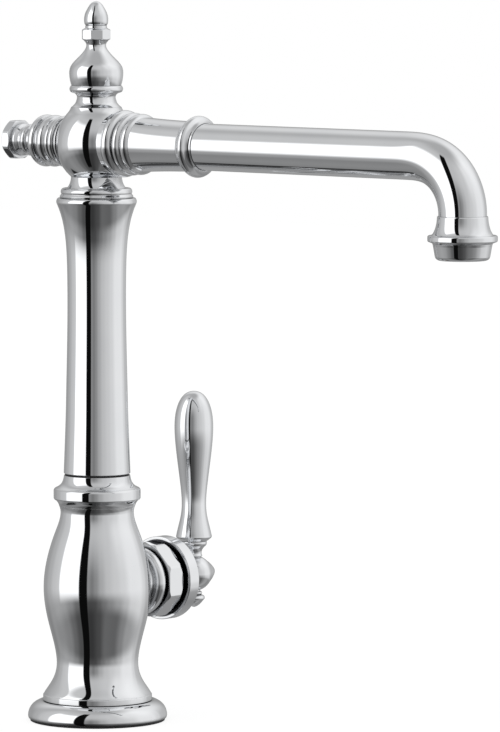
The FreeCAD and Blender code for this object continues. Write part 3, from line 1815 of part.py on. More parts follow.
def make_pieces():
    """Every piece of the tap, in the order it is put together."""
    spout_axis = (0, 0, SPOUT_AXIS)
    ring_half = s.o_ring_radius + s.o_ring_squeeze
    return [
        make_deck_gasket(),
        make_base_flange(),
        make_mounting_shank(),
        make_lower_body(),
        make_mixing_block(),
        make_riser_tube(),
        make_swivel_socket(),
        o_ring("swivel_o_rings", s.spigot_radius, swivel_ring_levels()),
        turned("body_collar", collar_section()),
        make_swivel_bush(),
        make_thrust_washer(),
        make_bonnet_nut(),
        make_cartridge_shell(),
        make_port_seals(),
        make_fixed_ceramic_disc(),
        make_moving_ceramic_disc(),
        make_disc_slider(),
        make_cartridge_carrier(),
        make_stem_pivot_pin(),
        make_cartridge_stem(),
        make_handle_disc(),
        make_handle_hub(),
        make_handle_set_screw(),
        make_lever_ferrule(),
        make_lever(),
        make_lower_knob(),
        make_swivel_spigot(),
        make_swivel_clip(),
        make_water_tube(),
        o_ring("water_tube_o_rings", s.water_tube_radius, water_tube_ring_levels()),
        make_column_tube(),
        make_neck_ring(),
        make_ball_tee(),
        make_finial_base(),
        make_finial_bulb(),
        make_finial_nut(),
        make_finial_tip(),
        make_spout_collar(),
        o_ring("spout_o_ring", s.tube_radius, [s.front_boss_end + ring_half], "-Y", spout_axis),
        make_spout_sleeve(),
        make_spout_bead(),
        make_spout_tube(),
        make_outlet_ferrule(),
        make_aerator_shell(),
        make_aerator_insert(),
        make_aerator_screen(),
        make_aerator_washer(),
        make_back_collar(),
        o_ring("back_plug_o_ring", s.plug_screw_radius, [s.back_boss_end + ring_half], "+Y", spout_axis),
        make_back_plug(),
    ]


def check(pieces):
    """Stops with a plain message if any object failed or any piece has no sound shape."""
    for thing in doc.Objects:
        if "Invalid" in thing.State or "Error" in thing.State:
            raise ValueError(f"{thing.Name} failed: {thing.State}")
    for piece in pieces:
        if piece.Shape.isNull() or not piece.Shape.isValid():
            raise ValueError(f"{piece.Label} has no valid shape")


def write(pieces):
    """Writes each piece to its own file, named as the piece."""
    os.makedirs("parts", exist_ok=True)
    for piece in pieces:
        piece.Shape.exportStep(f"parts/{piece.Label}.step")


tap_pieces = make_pieces()
doc.recompute()
check(tap_pieces)
write(tap_pieces)
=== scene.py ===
import json
import math

import bpy
from mathutils import Matrix, Vector


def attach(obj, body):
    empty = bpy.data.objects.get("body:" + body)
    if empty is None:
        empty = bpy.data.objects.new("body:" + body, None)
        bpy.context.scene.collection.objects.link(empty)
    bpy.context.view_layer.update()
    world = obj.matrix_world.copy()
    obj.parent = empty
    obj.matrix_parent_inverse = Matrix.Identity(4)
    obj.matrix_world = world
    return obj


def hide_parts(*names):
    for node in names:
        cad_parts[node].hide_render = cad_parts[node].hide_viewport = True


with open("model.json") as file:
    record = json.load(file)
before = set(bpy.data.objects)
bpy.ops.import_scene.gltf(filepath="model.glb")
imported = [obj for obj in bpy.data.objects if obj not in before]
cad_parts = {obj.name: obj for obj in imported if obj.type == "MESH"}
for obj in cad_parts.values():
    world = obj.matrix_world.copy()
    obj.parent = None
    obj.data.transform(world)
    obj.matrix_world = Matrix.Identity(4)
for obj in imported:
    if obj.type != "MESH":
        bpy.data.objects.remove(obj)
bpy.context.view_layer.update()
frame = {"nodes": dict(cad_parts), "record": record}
bpy.context.scene.view_settings.view_transform = "Standard"

# shapes are written in millimetres, and Blender works in metres
MM = 0.001

# places that several pieces share, in millimetres
VALVE_LEVEL = 64
SPOUT_LEVEL = 275.94
SPOUT_REACH = 221.8
LEVER_OUT = 70.4


# ---- node helpers ----


class Tree:
    """A small wrapper that makes and links shader nodes."""

    def __init__(self, owner):
        owner.use_nodes = True
        self.tree = owner.node_tree
        self.tree.nodes.clear()

    def add(self, kind, inputs=None, **settings):
        """A node whose inputs are plain values or the outputs of other nodes."""
        node = self.tree.nodes.new(kind)
        for name, value in settings.items():
            setattr(node, name, value)
        for name, value in (inputs or {}).items():
            if isinstance(value, bpy.types.NodeSocket):
                self.tree.links.new(value, node.inputs[name])
            else:
                node.inputs[name].default_value = value
        return node

    def math(self, operation, first, second=0.0):
        return self.add("ShaderNodeMath", {0: first, 1: second}, operation=operation).outputs[0]

    def ramp(self, value, low, high, start=0.0, end=1.0):
        """Runs smoothly from start, where the value is low, to end, where it is high."""
        inputs = {"Value": value, "From Min": low, "From Max": high, "To Min": start, "To Max": end}
        node = self.add("ShaderNodeMapRange", inputs, interpolation_type="SMOOTHSTEP")
        return node.outputs["Result"]

    def within(self, value, low, high, soft):
        """1 between low and high and 0 outside, with a soft step at both."""
        rise = self.ramp(value, low - soft, low + soft)
        fall = self.ramp(value, high + soft, high - soft)
        return self.math("MULTIPLY", rise, fall)

    def mix(self, share, first, second):
        """Plain numbers: first where share is 0, second where it is 1."""
        node = self.add("ShaderNodeMix", {0: share, 2: first, 3: second}, data_type="FLOAT")
        return node.outputs[0]

    def mix_colour(self, share, first, second, **settings):
        inputs = {0: share, 6: first, 7: second}
        return self.add("ShaderNodeMix", inputs, data_type="RGBA", **settings).outputs[2]

    def stops(self, value, places):
        """A smooth curve of brightness through (place, level), where place runs from 0 to 1."""
        node = self.add("ShaderNodeValToRGB", {"Fac": value})
        ramp = node.color_ramp
        ramp.interpolation = "EASE"
        while len(ramp.elements) < len(places):
            ramp.elements.new(0.5)
        for element, (place, level) in zip(ramp.elements, places):
            element.position = place
            element.color = (level, level, level, 1)
        return node.outputs["Color"]

    def noise(self, place, scale, detail, roughness):
        inputs = {"Vector": place, "Scale": scale, "Detail": detail, "Roughness": roughness}
        return self.add("ShaderNodeTexNoise", inputs).outputs["Fac"]

    def shelter(self, distance):
        """1 where a surface lies open, less in grooves and corners of about that size in metres."""
        inputs = {"Distance": distance}
        return self.add("ShaderNodeAmbientOcclusion", inputs, samples=8).outputs["AO"]

    def bump(self, height, distance, before=None):
        """A normal for relief of that depth in metres, on top of the normal before it."""
        inputs = {"Height": height, "Distance": distance}
        if before is not None:
            inputs["Normal"] = before
        return self.add("ShaderNodeBump", inputs).outputs["Normal"]


# ---- studio ----

# the photographer's direction: turned from the spout's side view, and looking slightly down
CAMERA_TURN = math.radians(40.4157)
CAMERA_PITCH = math.radians(4.8516)
# the camera's place in metres: its distance, and the height and shift of what it looks at
CAMERA_DISTANCE = 2.92122
CAMERA_AIM = 0.1695535
CAMERA_SHIFT = 0.0728756
# the photograph's height and the focal length, both in its pixels, and the sensor's height in millimetres
PHOTO_HEIGHT = 732
FOCAL_LENGTH = 6138.54
SENSOR = 36.0

# brightness by azimuth in degrees: level with the part, above it, a little below it and under it
LEVEL = (
    (-180, 0.33), (-145, 0.36), (-123, 0.46), (-106, 0.58), (-92, 0.63), (-25, 0.34), (-18, 0.27),
    (-10, 0.21), (-2, 0.28), (10, 0.43), (24, 0.56), (42, 0.64), (60, 0.72), (80, 0.87), (107, 0.88),
    (122, 0.74), (134, 0.56), (150, 0.52), (180, 0.33),
)
HIGH = (
    (-180, 0.80), (-165, 0.74), (-130, 0.48), (-99, 0.61), (-60, 0.60), (-10, 0.54), (30, 0.62),
    (60, 0.84), (100, 0.98), (140, 0.90), (180, 0.80),
)
LOW = (
    (-180, 0.27), (-142, 0.25), (-120, 0.34), (-97, 0.39), (-80, 0.37), (-60, 0.28), (-45, 0.16),
    (-14, 0.065), (-4, 0.07), (6, 0.115), (16, 0.18), (30, 0.26), (50, 0.37), (69, 0.52), (84, 0.68),
    (110, 0.72), (126, 0.58), (142, 0.36), (180, 0.27),
)
UNDER = (
    (-180, 0.36), (-158, 0.34), (-140, 0.22), (-116, 0.24), (-98, 0.27), (-76, 0.23), (-60, 0.14),
    (-45, 0.08), (-14, 0.04), (6, 0.07), (23, 0.14), (48, 0.13), (69, 0.24), (84, 0.34), (102, 0.36),
    (127, 0.27), (150, 0.30), (180, 0.36),
)
CEILING = 0.44
PANELS = (
    # azimuth from and to, elevation from and to, softness across and up, brightness
    (-88.0, -38.8, -10.0, 46.0, 2.8, 6.5, 1.35),
    (-38.8, -20.6, -62.0, 66.0, 1.2, 3.0, 0.004),
)
# the dark edge of a table below the part: its brightness, and its place sideways per unit of depth
TABLE_EDGE = 0.02
EDGE_PLACE = 0.05
# where it begins to show and shows fully: sideways, along the spout and below the horizon
EDGE_SIDEWAYS = (0.19, 0.1)
EDGE_ALONG = (0.17, 0.1)
EDGE_BELOW = (-0.3, -0.5)
# dull surfaces get this even light, at which a colour renders as it is written
EVEN_LIGHT = 0.85


def walls(t, azimuth, height):
    """Soft grey brightness of the room by direction, where each band of elevation runs into the next."""
    around = t.math("ADD", t.math("DIVIDE", azimuth, 360.0), 0.5)
    level, above, below, under = (
        t.stops(around, [(place / 360 + 0.5, light) for place, light in band])
        for band in (LEVEL, HIGH, LOW, UNDER)
    )
    # elevation where the change begins and ends, and what it changes to
    for begin, end, light in ((6, 40, above), (52, 80, CEILING), (-5, -17, below), (-17, -28, under)):
        level = t.mix(t.ramp(height, begin, end), level, light)
    return level


def table_edge(t, direction):
    """1 at the edge of a table, which lies along the spout and shows as a thin line on its underside."""
    east, north, up = t.add("ShaderNodeSeparateXYZ", {"Vector": direction}).outputs
    sideways = t.math("ABSOLUTE", t.math("SUBTRACT", t.math("DIVIDE", east, up), EDGE_PLACE))
    # the level tube mirrors towards the camera only what has this share of north in its direction
    along = t.math("ABSOLUTE", t.math("SUBTRACT", north, math.sin(CAMERA_TURN)))
    line = t.math("MULTIPLY", t.ramp(sideways, *EDGE_SIDEWAYS), t.ramp(along, *EDGE_ALONG))
    return t.math("MULTIPLY", line, t.ramp(up, *EDGE_BELOW))


def make_world():
    """Soft studio: grey walls, one large white panel and one black strip. The camera sees white."""
    world = bpy.data.worlds.new("studio")
    bpy.context.scene.world = world
    t = Tree(world)
    direction = t.add("ShaderNodeTexCoord").outputs["Generated"]
    inputs = {"Vector": direction, "Angle": math.pi / 2 - CAMERA_TURN}
    turned = t.add("ShaderNodeVectorRotate", inputs, rotation_type="Z_AXIS").outputs[0]
    x, y, z = t.add("ShaderNodeSeparateXYZ", {"Vector": turned}).outputs
    # azimuth 0 is where the photographer stands, and positive is to the right of the picture
    azimuth = t.math("MULTIPLY", t.math("ARCTAN2", x, t.math("MULTIPLY", y, -1.0)), 180 / math.pi)
    height = t.math("MULTIPLY", t.math("ARCSINE", z), 180 / math.pi)
    level = walls(t, azimuth, height)
    level = t.mix(table_edge(t, direction), level, TABLE_EDGE)
    for left, right, low, high, soft, soft_up, brightness in PANELS:
        across = t.within(azimuth, left, right, soft)
        tall = t.within(height, low, high, soft_up)
        level = t.mix(t.math("MULTIPLY", across, tall), level, brightness)
    ray = t.add("ShaderNodeLightPath").outputs
    level = t.mix(ray["Is Diffuse Ray"], level, EVEN_LIGHT)
    studio = t.add("ShaderNodeBackground", {"Color": (1, 1, 1, 1), "Strength": level}).outputs[0]
    white = t.add("ShaderNodeBackground", {"Color": (1, 1, 1, 1), "Strength": 1.0}).outputs[0]
    shown = t.add("ShaderNodeMixShader", {0: ray["Is Camera Ray"], 1: studio, 2: white}).outputs[0]
    t.add("ShaderNodeOutputWorld", {"Surface": shown})


def make_camera():
    data = bpy.data.cameras.new("camera")
    data.sensor_width = SENSOR
    data.lens = SENSOR * FOCAL_LENGTH / PHOTO_HEIGHT
    data.clip_start = 0.1
    data.clip_end = 50.0
    camera = bpy.data.objects.new("camera", data)
    bpy.context.scene.collection.objects.link(camera)
    bpy.context.scene.camera = camera
    right = Vector((math.sin(CAMERA_TURN), -math.cos(CAMERA_TURN), 0))
    level = Vector((math.cos(CAMERA_TURN), math.sin(CAMERA_TURN), 0))
    forward = level * math.cos(CAMERA_PITCH) - Vector((0, 0, math.sin(CAMERA_PITCH)))
    up = right.cross(forward)
    place = Vector((0, 0, CAMERA_AIM)) + right * CAMERA_SHIFT - forward * CAMERA_DISTANCE
    turn = Matrix((right, up, -forward)).transposed()
    camera.matrix_world = Matrix.Translation(place) @ turn.to_4x4()


def make_floor():
    """Plain pale floor. It keeps a soft shadow and fades into the white background."""
    mesh = bpy.data.meshes.new("floor")
    half = 3.0
    corners = [(-half, -half, 0), (half, -half, 0), (half, half, 0), (-half, half, 0)]
    mesh.from_pydata(corners, [], [(0, 1, 2, 3)])
    floor = bpy.data.objects.new("floor", mesh)
    bpy.context.scene.collection.objects.link(floor)
    material = bpy.data.materials.new("pale_floor")
    t = Tree(material)
    ray = t.add("ShaderNodeLightPath").outputs
    plain = t.add("ShaderNodeBsdfDiffuse", {"Color": (0.8, 0.8, 0.8, 1)}).outputs[0]
    # the camera sees mostly plain white, and a share of real light that carries the shadow
    shaded = t.add("ShaderNodeBsdfDiffuse", {"Color": (0.2, 0.2, 0.2, 1)}).outputs[0]
    white = t.add("ShaderNodeEmission", {"Color": (1, 1, 1, 1), "Strength": 0.86}).outputs[0]
    pale = t.add("ShaderNodeAddShader", {0: shaded, 1: white}).outputs[0]
    shown = t.add("ShaderNodeMixShader", {0: ray["Is Camera Ray"], 1: plain, 2: pale}).outputs[0]
    # mirrors look through it to the walls of the studio
    clear = t.add("ShaderNodeBsdfTransparent").outputs[0]
    ends = t.add("ShaderNodeMixShader", {0: ray["Is Glossy Ray"], 1: shown, 2: clear}).outputs[0]
    t.add("ShaderNodeOutputMaterial", {"Surface": ends})
    mesh.materials.append(material)


# ---- materials ----

# the hollow back of the handle's disc, where shade is painted black, in millimetres: its floor, along the
# valve, and its radius
HOLLOW_FLOOR = 50
HOLLOW_RADIUS = 18.6
# radius in metres of the round that a render shows on the edges of the eight-sided pieces
SOFT_EDGE = 0.0004


def finish(name, colour, shade, metallic, rough, grain, depth, recess_shade=0.0):
    """A worked surface: two colours in soft clouds, uneven gloss, fine grain and painted shade that
    darkens the colour in recesses.
    """
    material = bpy.data.materials.new(name)
    t = Tree(material)
    place = t.add("ShaderNodeTexCoord").outputs["Object"]
    clouds = t.noise(place, 180.0, 3.0, 0.6)
    fine = t.noise(place, grain, 4.0, 0.65)
    colours = t.mix_colour(t.ramp(clouds, 0.35, 0.65), (*colour, 1), (*shade, 1))
    if recess_shade:
        # painted shade: the colour is darkened in grooves and corners by up to the given share
        dark = t.ramp(t.shelter(0.006), 0.0, 0.75, 1.0 - recess_shade, 1.0)
        grey = t.add("ShaderNodeCombineColor", {0: dark, 1: dark, 2: dark}).outputs[0]
        colours = t.mix_colour(1.0, colours, grey, blend_type="MULTIPLY")
    low, high = rough
    uneven = t.math("ADD", t.math("MULTIPLY", clouds, 0.6), t.math("MULTIPLY", fine, 0.4))
    gloss = t.ramp(uneven, 0.3, 0.7, low, high)
    relief = t.bump(fine, depth)
    inputs = {"Base Color": colours, "Metallic": metallic, "Roughness": gloss, "Normal": relief}
    shader = t.add("ShaderNodeBsdfPrincipled", inputs)
    t.add("ShaderNodeOutputMaterial", {"Surface": shader.outputs[0]})
    return material


def hollow_back_shade(t, place):
    """1 in the hollow back of the handle's disc, which shows black, and 0 elsewhere: the place where shade
    is painted black onto the plating.
    """
    x, y, z = t.add("ShaderNodeSeparateXYZ", {"Vector": place}).outputs
    rise = t.math("SUBTRACT", z, VALVE_LEVEL * MM)
    reach = t.math("SQRT", t.math("ADD", t.math("MULTIPLY", y, y), t.math("MULTIPLY", rise, rise)))
    behind = t.ramp(x, (HOLLOW_FLOOR + 0.5) * MM, HOLLOW_FLOOR * MM)
    inside = t.ramp(reach, (HOLLOW_RADIUS + 0.3) * MM, HOLLOW_RADIUS * MM)
    return t.math("MULTIPLY", behind, inside)


def chrome(name, rounding=0.0, painted_shade_back=False):
    """Polished plating: nearly clean mirrors, with faint hand marks, polishing lines and painted shade
    that turns recesses dark.
    """
    material = bpy.data.materials.new(name)
    t = Tree(material)
    place = t.add("ShaderNodeTexCoord").outputs["Object"]
    smudges = t.noise(place, 45.0, 3.0, 0.55)
    lines = t.add("ShaderNodeMapping", {"Vector": place, "Scale": (900.0, 900.0, 5200.0)}).outputs[0]
    scratches = t.noise(lines, 1.0, 2.0, 0.7)
    waves = t.noise(place, 28.0, 1.0, 0.4)
    # painted shade: the plating turns near black in grooves and corners, where the occlusion is deep
    dark = t.ramp(t.shelter(0.007), 0.24, 0.82, 0.03, 1.0)
    # painted shade: the hollow back of the handle's disc is painted near black too
    if painted_shade_back:
        dark = t.math("MULTIPLY", dark, t.math("SUBTRACT", 1.0, hollow_back_shade(t, place)))
    plate = t.mix_colour(t.ramp(smudges, 0.3, 0.7), (0.875, 0.885, 0.9, 1), (0.85, 0.862, 0.88, 1))
    # the near-black colour is painted shade; the two plate colours are the plating's own
    colours = t.mix_colour(dark, (0.035, 0.036, 0.04, 1), plate)
    smudged = t.ramp(smudges, 0.5, 0.8, 0.0, 0.035)
    scratched = t.ramp(scratches, 0.45, 0.75, 0.0, 0.02)
    gloss = t.math("ADD", t.math("ADD", smudged, scratched), 0.02)
    before = None
    if rounding:
        before = t.add("ShaderNodeBevel", {"Radius": rounding}, samples=8).outputs["Normal"]
    relief = t.bump(waves, 0.00004, before)
    relief = t.bump(scratches, 0.0000012, relief)
    inputs = {"Base Color": colours, "Metallic": 1.0, "Roughness": gloss, "Normal": relief}
    shader = t.add("ShaderNodeBsdfPrincipled", inputs)
    t.add("ShaderNodeOutputMaterial", {"Surface": shader.outputs[0]})
    return material


def make_finishes():
    """One finish for each of the record's material slots, and one for the disc with painted shade on its
    hollow back.
    """
    metal = {"metallic": 1.0, "depth": 0.00001, "recess_shade": 0.7}
    return {
        "handle_disc": chrome("polished_plating_painted_shade_back", painted_shade_back=True),
        "polished_chrome": chrome("polished_plating"),
        "raw_brass": finish(
            "turned_brass", (0.72, 0.52, 0.25), (0.60, 0.41, 0.19), rough=(0.22, 0.42), grain=2600.0,
            **metal,
        ),
        "stainless_steel": finish(
            "steel", (0.62, 0.61, 0.59), (0.50, 0.49, 0.48), rough=(0.2, 0.38), grain=3200.0,
            **metal,
        ),
        "black_rubber": finish(
            "moulded_rubber", (0.012, 0.012, 0.013), (0.028, 0.028, 0.03), metallic=0.0,
            rough=(0.55, 0.8), grain=1500.0, depth=0.00006,
        ),
        "bearing_plastic": finish(
            "pale_acetal", (0.80, 0.79, 0.75), (0.72, 0.70, 0.65), metallic=0.0, rough=(0.35, 0.5),
            grain=1800.0, depth=0.00002, recess_shade=0.3,
        ),
        "cartridge_plastic": finish(
            "grey_plastic", (0.30, 0.31, 0.33), (0.24, 0.25, 0.27), metallic=0.0, rough=(0.4, 0.55),
            grain=1800.0, depth=0.00003, recess_shade=0.3,
        ),
        "white_ceramic": finish(
            "lapped_ceramic", (0.88, 0.87, 0.84), (0.83, 0.82, 0.79), metallic=0.0, rough=(0.12, 0.25),
            grain=4000.0, depth=0.000004,
        ),
        "outlet_plastic": finish(
            "outlet_plastic", (0.55, 0.56, 0.57), (0.47, 0.48, 0.5), metallic=0.0, rough=(0.3, 0.5),
            grain=2000.0, depth=0.00002, recess_shade=0.4,
        ),
    }


# ---- profiles ----

# the steps that curves of an outline are divided into
ARC_STEP = math.radians(9)
SPLINE_STEPS = 12


class Arc(tuple):
    """The point that an arc between two corners passes through."""

    def __new__(cls, *place):
        return super().__new__(cls, place)


def unit(x, y):
    size = math.hypot(x, y) or 1.0
    return x / size, y / size


def line_samples(start, end):
    tangent = unit(end[0] - start[0], end[1] - start[1])
    return [(*start, *tangent), (*end, *tangent)]


def arc_samples(start, middle, end):
    """Samples of the arc from start through middle to end, round the centre (ox, oy)."""
    (ax, ay), (bx, by), (cx, cy) = start, middle, end
    spread = 2 * (ax * (by - cy) + bx * (cy - ay) + cx * (ay - by))
    a, b, c = ax * ax + ay * ay, bx * bx + by * by, cx * cx + cy * cy
    ox = (a * (by - cy) + b * (cy - ay) + c * (ay - by)) / spread
    oy = (a * (cx - bx) + b * (ax - cx) + c * (bx - ax)) / spread
    radius = math.hypot(ax - ox, ay - oy)
    first = math.atan2(ay - oy, ax - ox)
    sweep = math.atan2(cy - oy, cx - ox) - first
    side = 1 if spread > 0 else -1
    sweep = sweep % (2 * math.pi) if side > 0 else -(-sweep % (2 * math.pi))
    count = max(3, math.ceil(abs(sweep) / ARC_STEP))
    samples = []
    for index in range(count + 1):
        turn = first + sweep * index / count
        x, y = math.cos(turn), math.sin(turn)
        samples.append((ox + radius * x, oy + radius * y, -y * side, x * side))
    return samples


def spline_point(poles, knots, u):
    """The point at u of a clamped cubic curve, found by blending its controls three times."""
    last = len(poles) - 1
    span = 3
    while span < last and u >= knots[span + 1]:
        span += 1
    work = [poles[span - 3 + index] for index in range(4)]
    for level in range(1, 4):
        for index in range(3, level - 1, -1):
            low = knots[span - 3 + index]
            share = (u - low) / (knots[span + 1 + index - level] - low)
            before, here = work[index - 1], work[index]
            work[index] = tuple(p + share * (q - p) for p, q in zip(before, here))
    return work[3]


def spline_samples(poles):
    """Samples of the clamped cubic curve with these controls. Its tangents come from points close by."""
    spans = len(poles) - 3
    knots = [0.0] * 4 + [float(index) for index in range(1, spans)] + [float(spans)] * 4
    count = spans * SPLINE_STEPS
    nudge = 1e-4
    samples = []
    for index in range(count + 1):
        u = spans * index / count
        before = spline_point(poles, knots, max(u - nudge, 0.0))
        after = spline_point(poles, knots, min(u + nudge, spans))
        tangent = unit(after[0] - before[0], after[1] - before[1])
        samples.append((*spline_point(poles, knots, u), *tangent))
    return samples


def profile_edges(path):
    """Edges between the corners of a closed path, each as samples (x, y, tangent x, tangent y)."""
    edges = []
    corner = path[0]
    between = None
    for item in [*path[1:], path[0]]:
        if isinstance(item, (Arc, list)):
            between = item
            continue
        if between is None:
            edges.append(line_samples(corner, item))
        elif isinstance(between, Arc):
            edges.append(arc_samples(corner, between, item))
        else:
            edges.append(spline_samples([corner, *between, item]))
        corner, between = item, None
    return edges


# the axes that pieces are turned about: a direction, and the place in millimetres where heights begin
UP = Vector((0, 0, 1))
ALONG_VALVE = Vector((1, 0, 0))
ALONG_SPOUT = Vector((0, -1, 0))
COLUMN = (UP, Vector((0, 0, 0)))
SPOUT = (ALONG_SPOUT, Vector((0, 0, SPOUT_LEVEL)))
PLUG = (-ALONG_SPOUT, Vector((0, 0, SPOUT_LEVEL)))
OUTLET = (UP, Vector((0, -SPOUT_REACH, 0)))
VALVE = (ALONG_VALVE, Vector((0, 0, VALVE_LEVEL)))
HUB = (ALONG_VALVE, Vector((45, 0, VALVE_LEVEL)))
DISC = (ALONG_VALVE, Vector((47, 0, VALVE_LEVEL)))
LEVER = (UP, Vector((LEVER_OUT, 0, 0)))

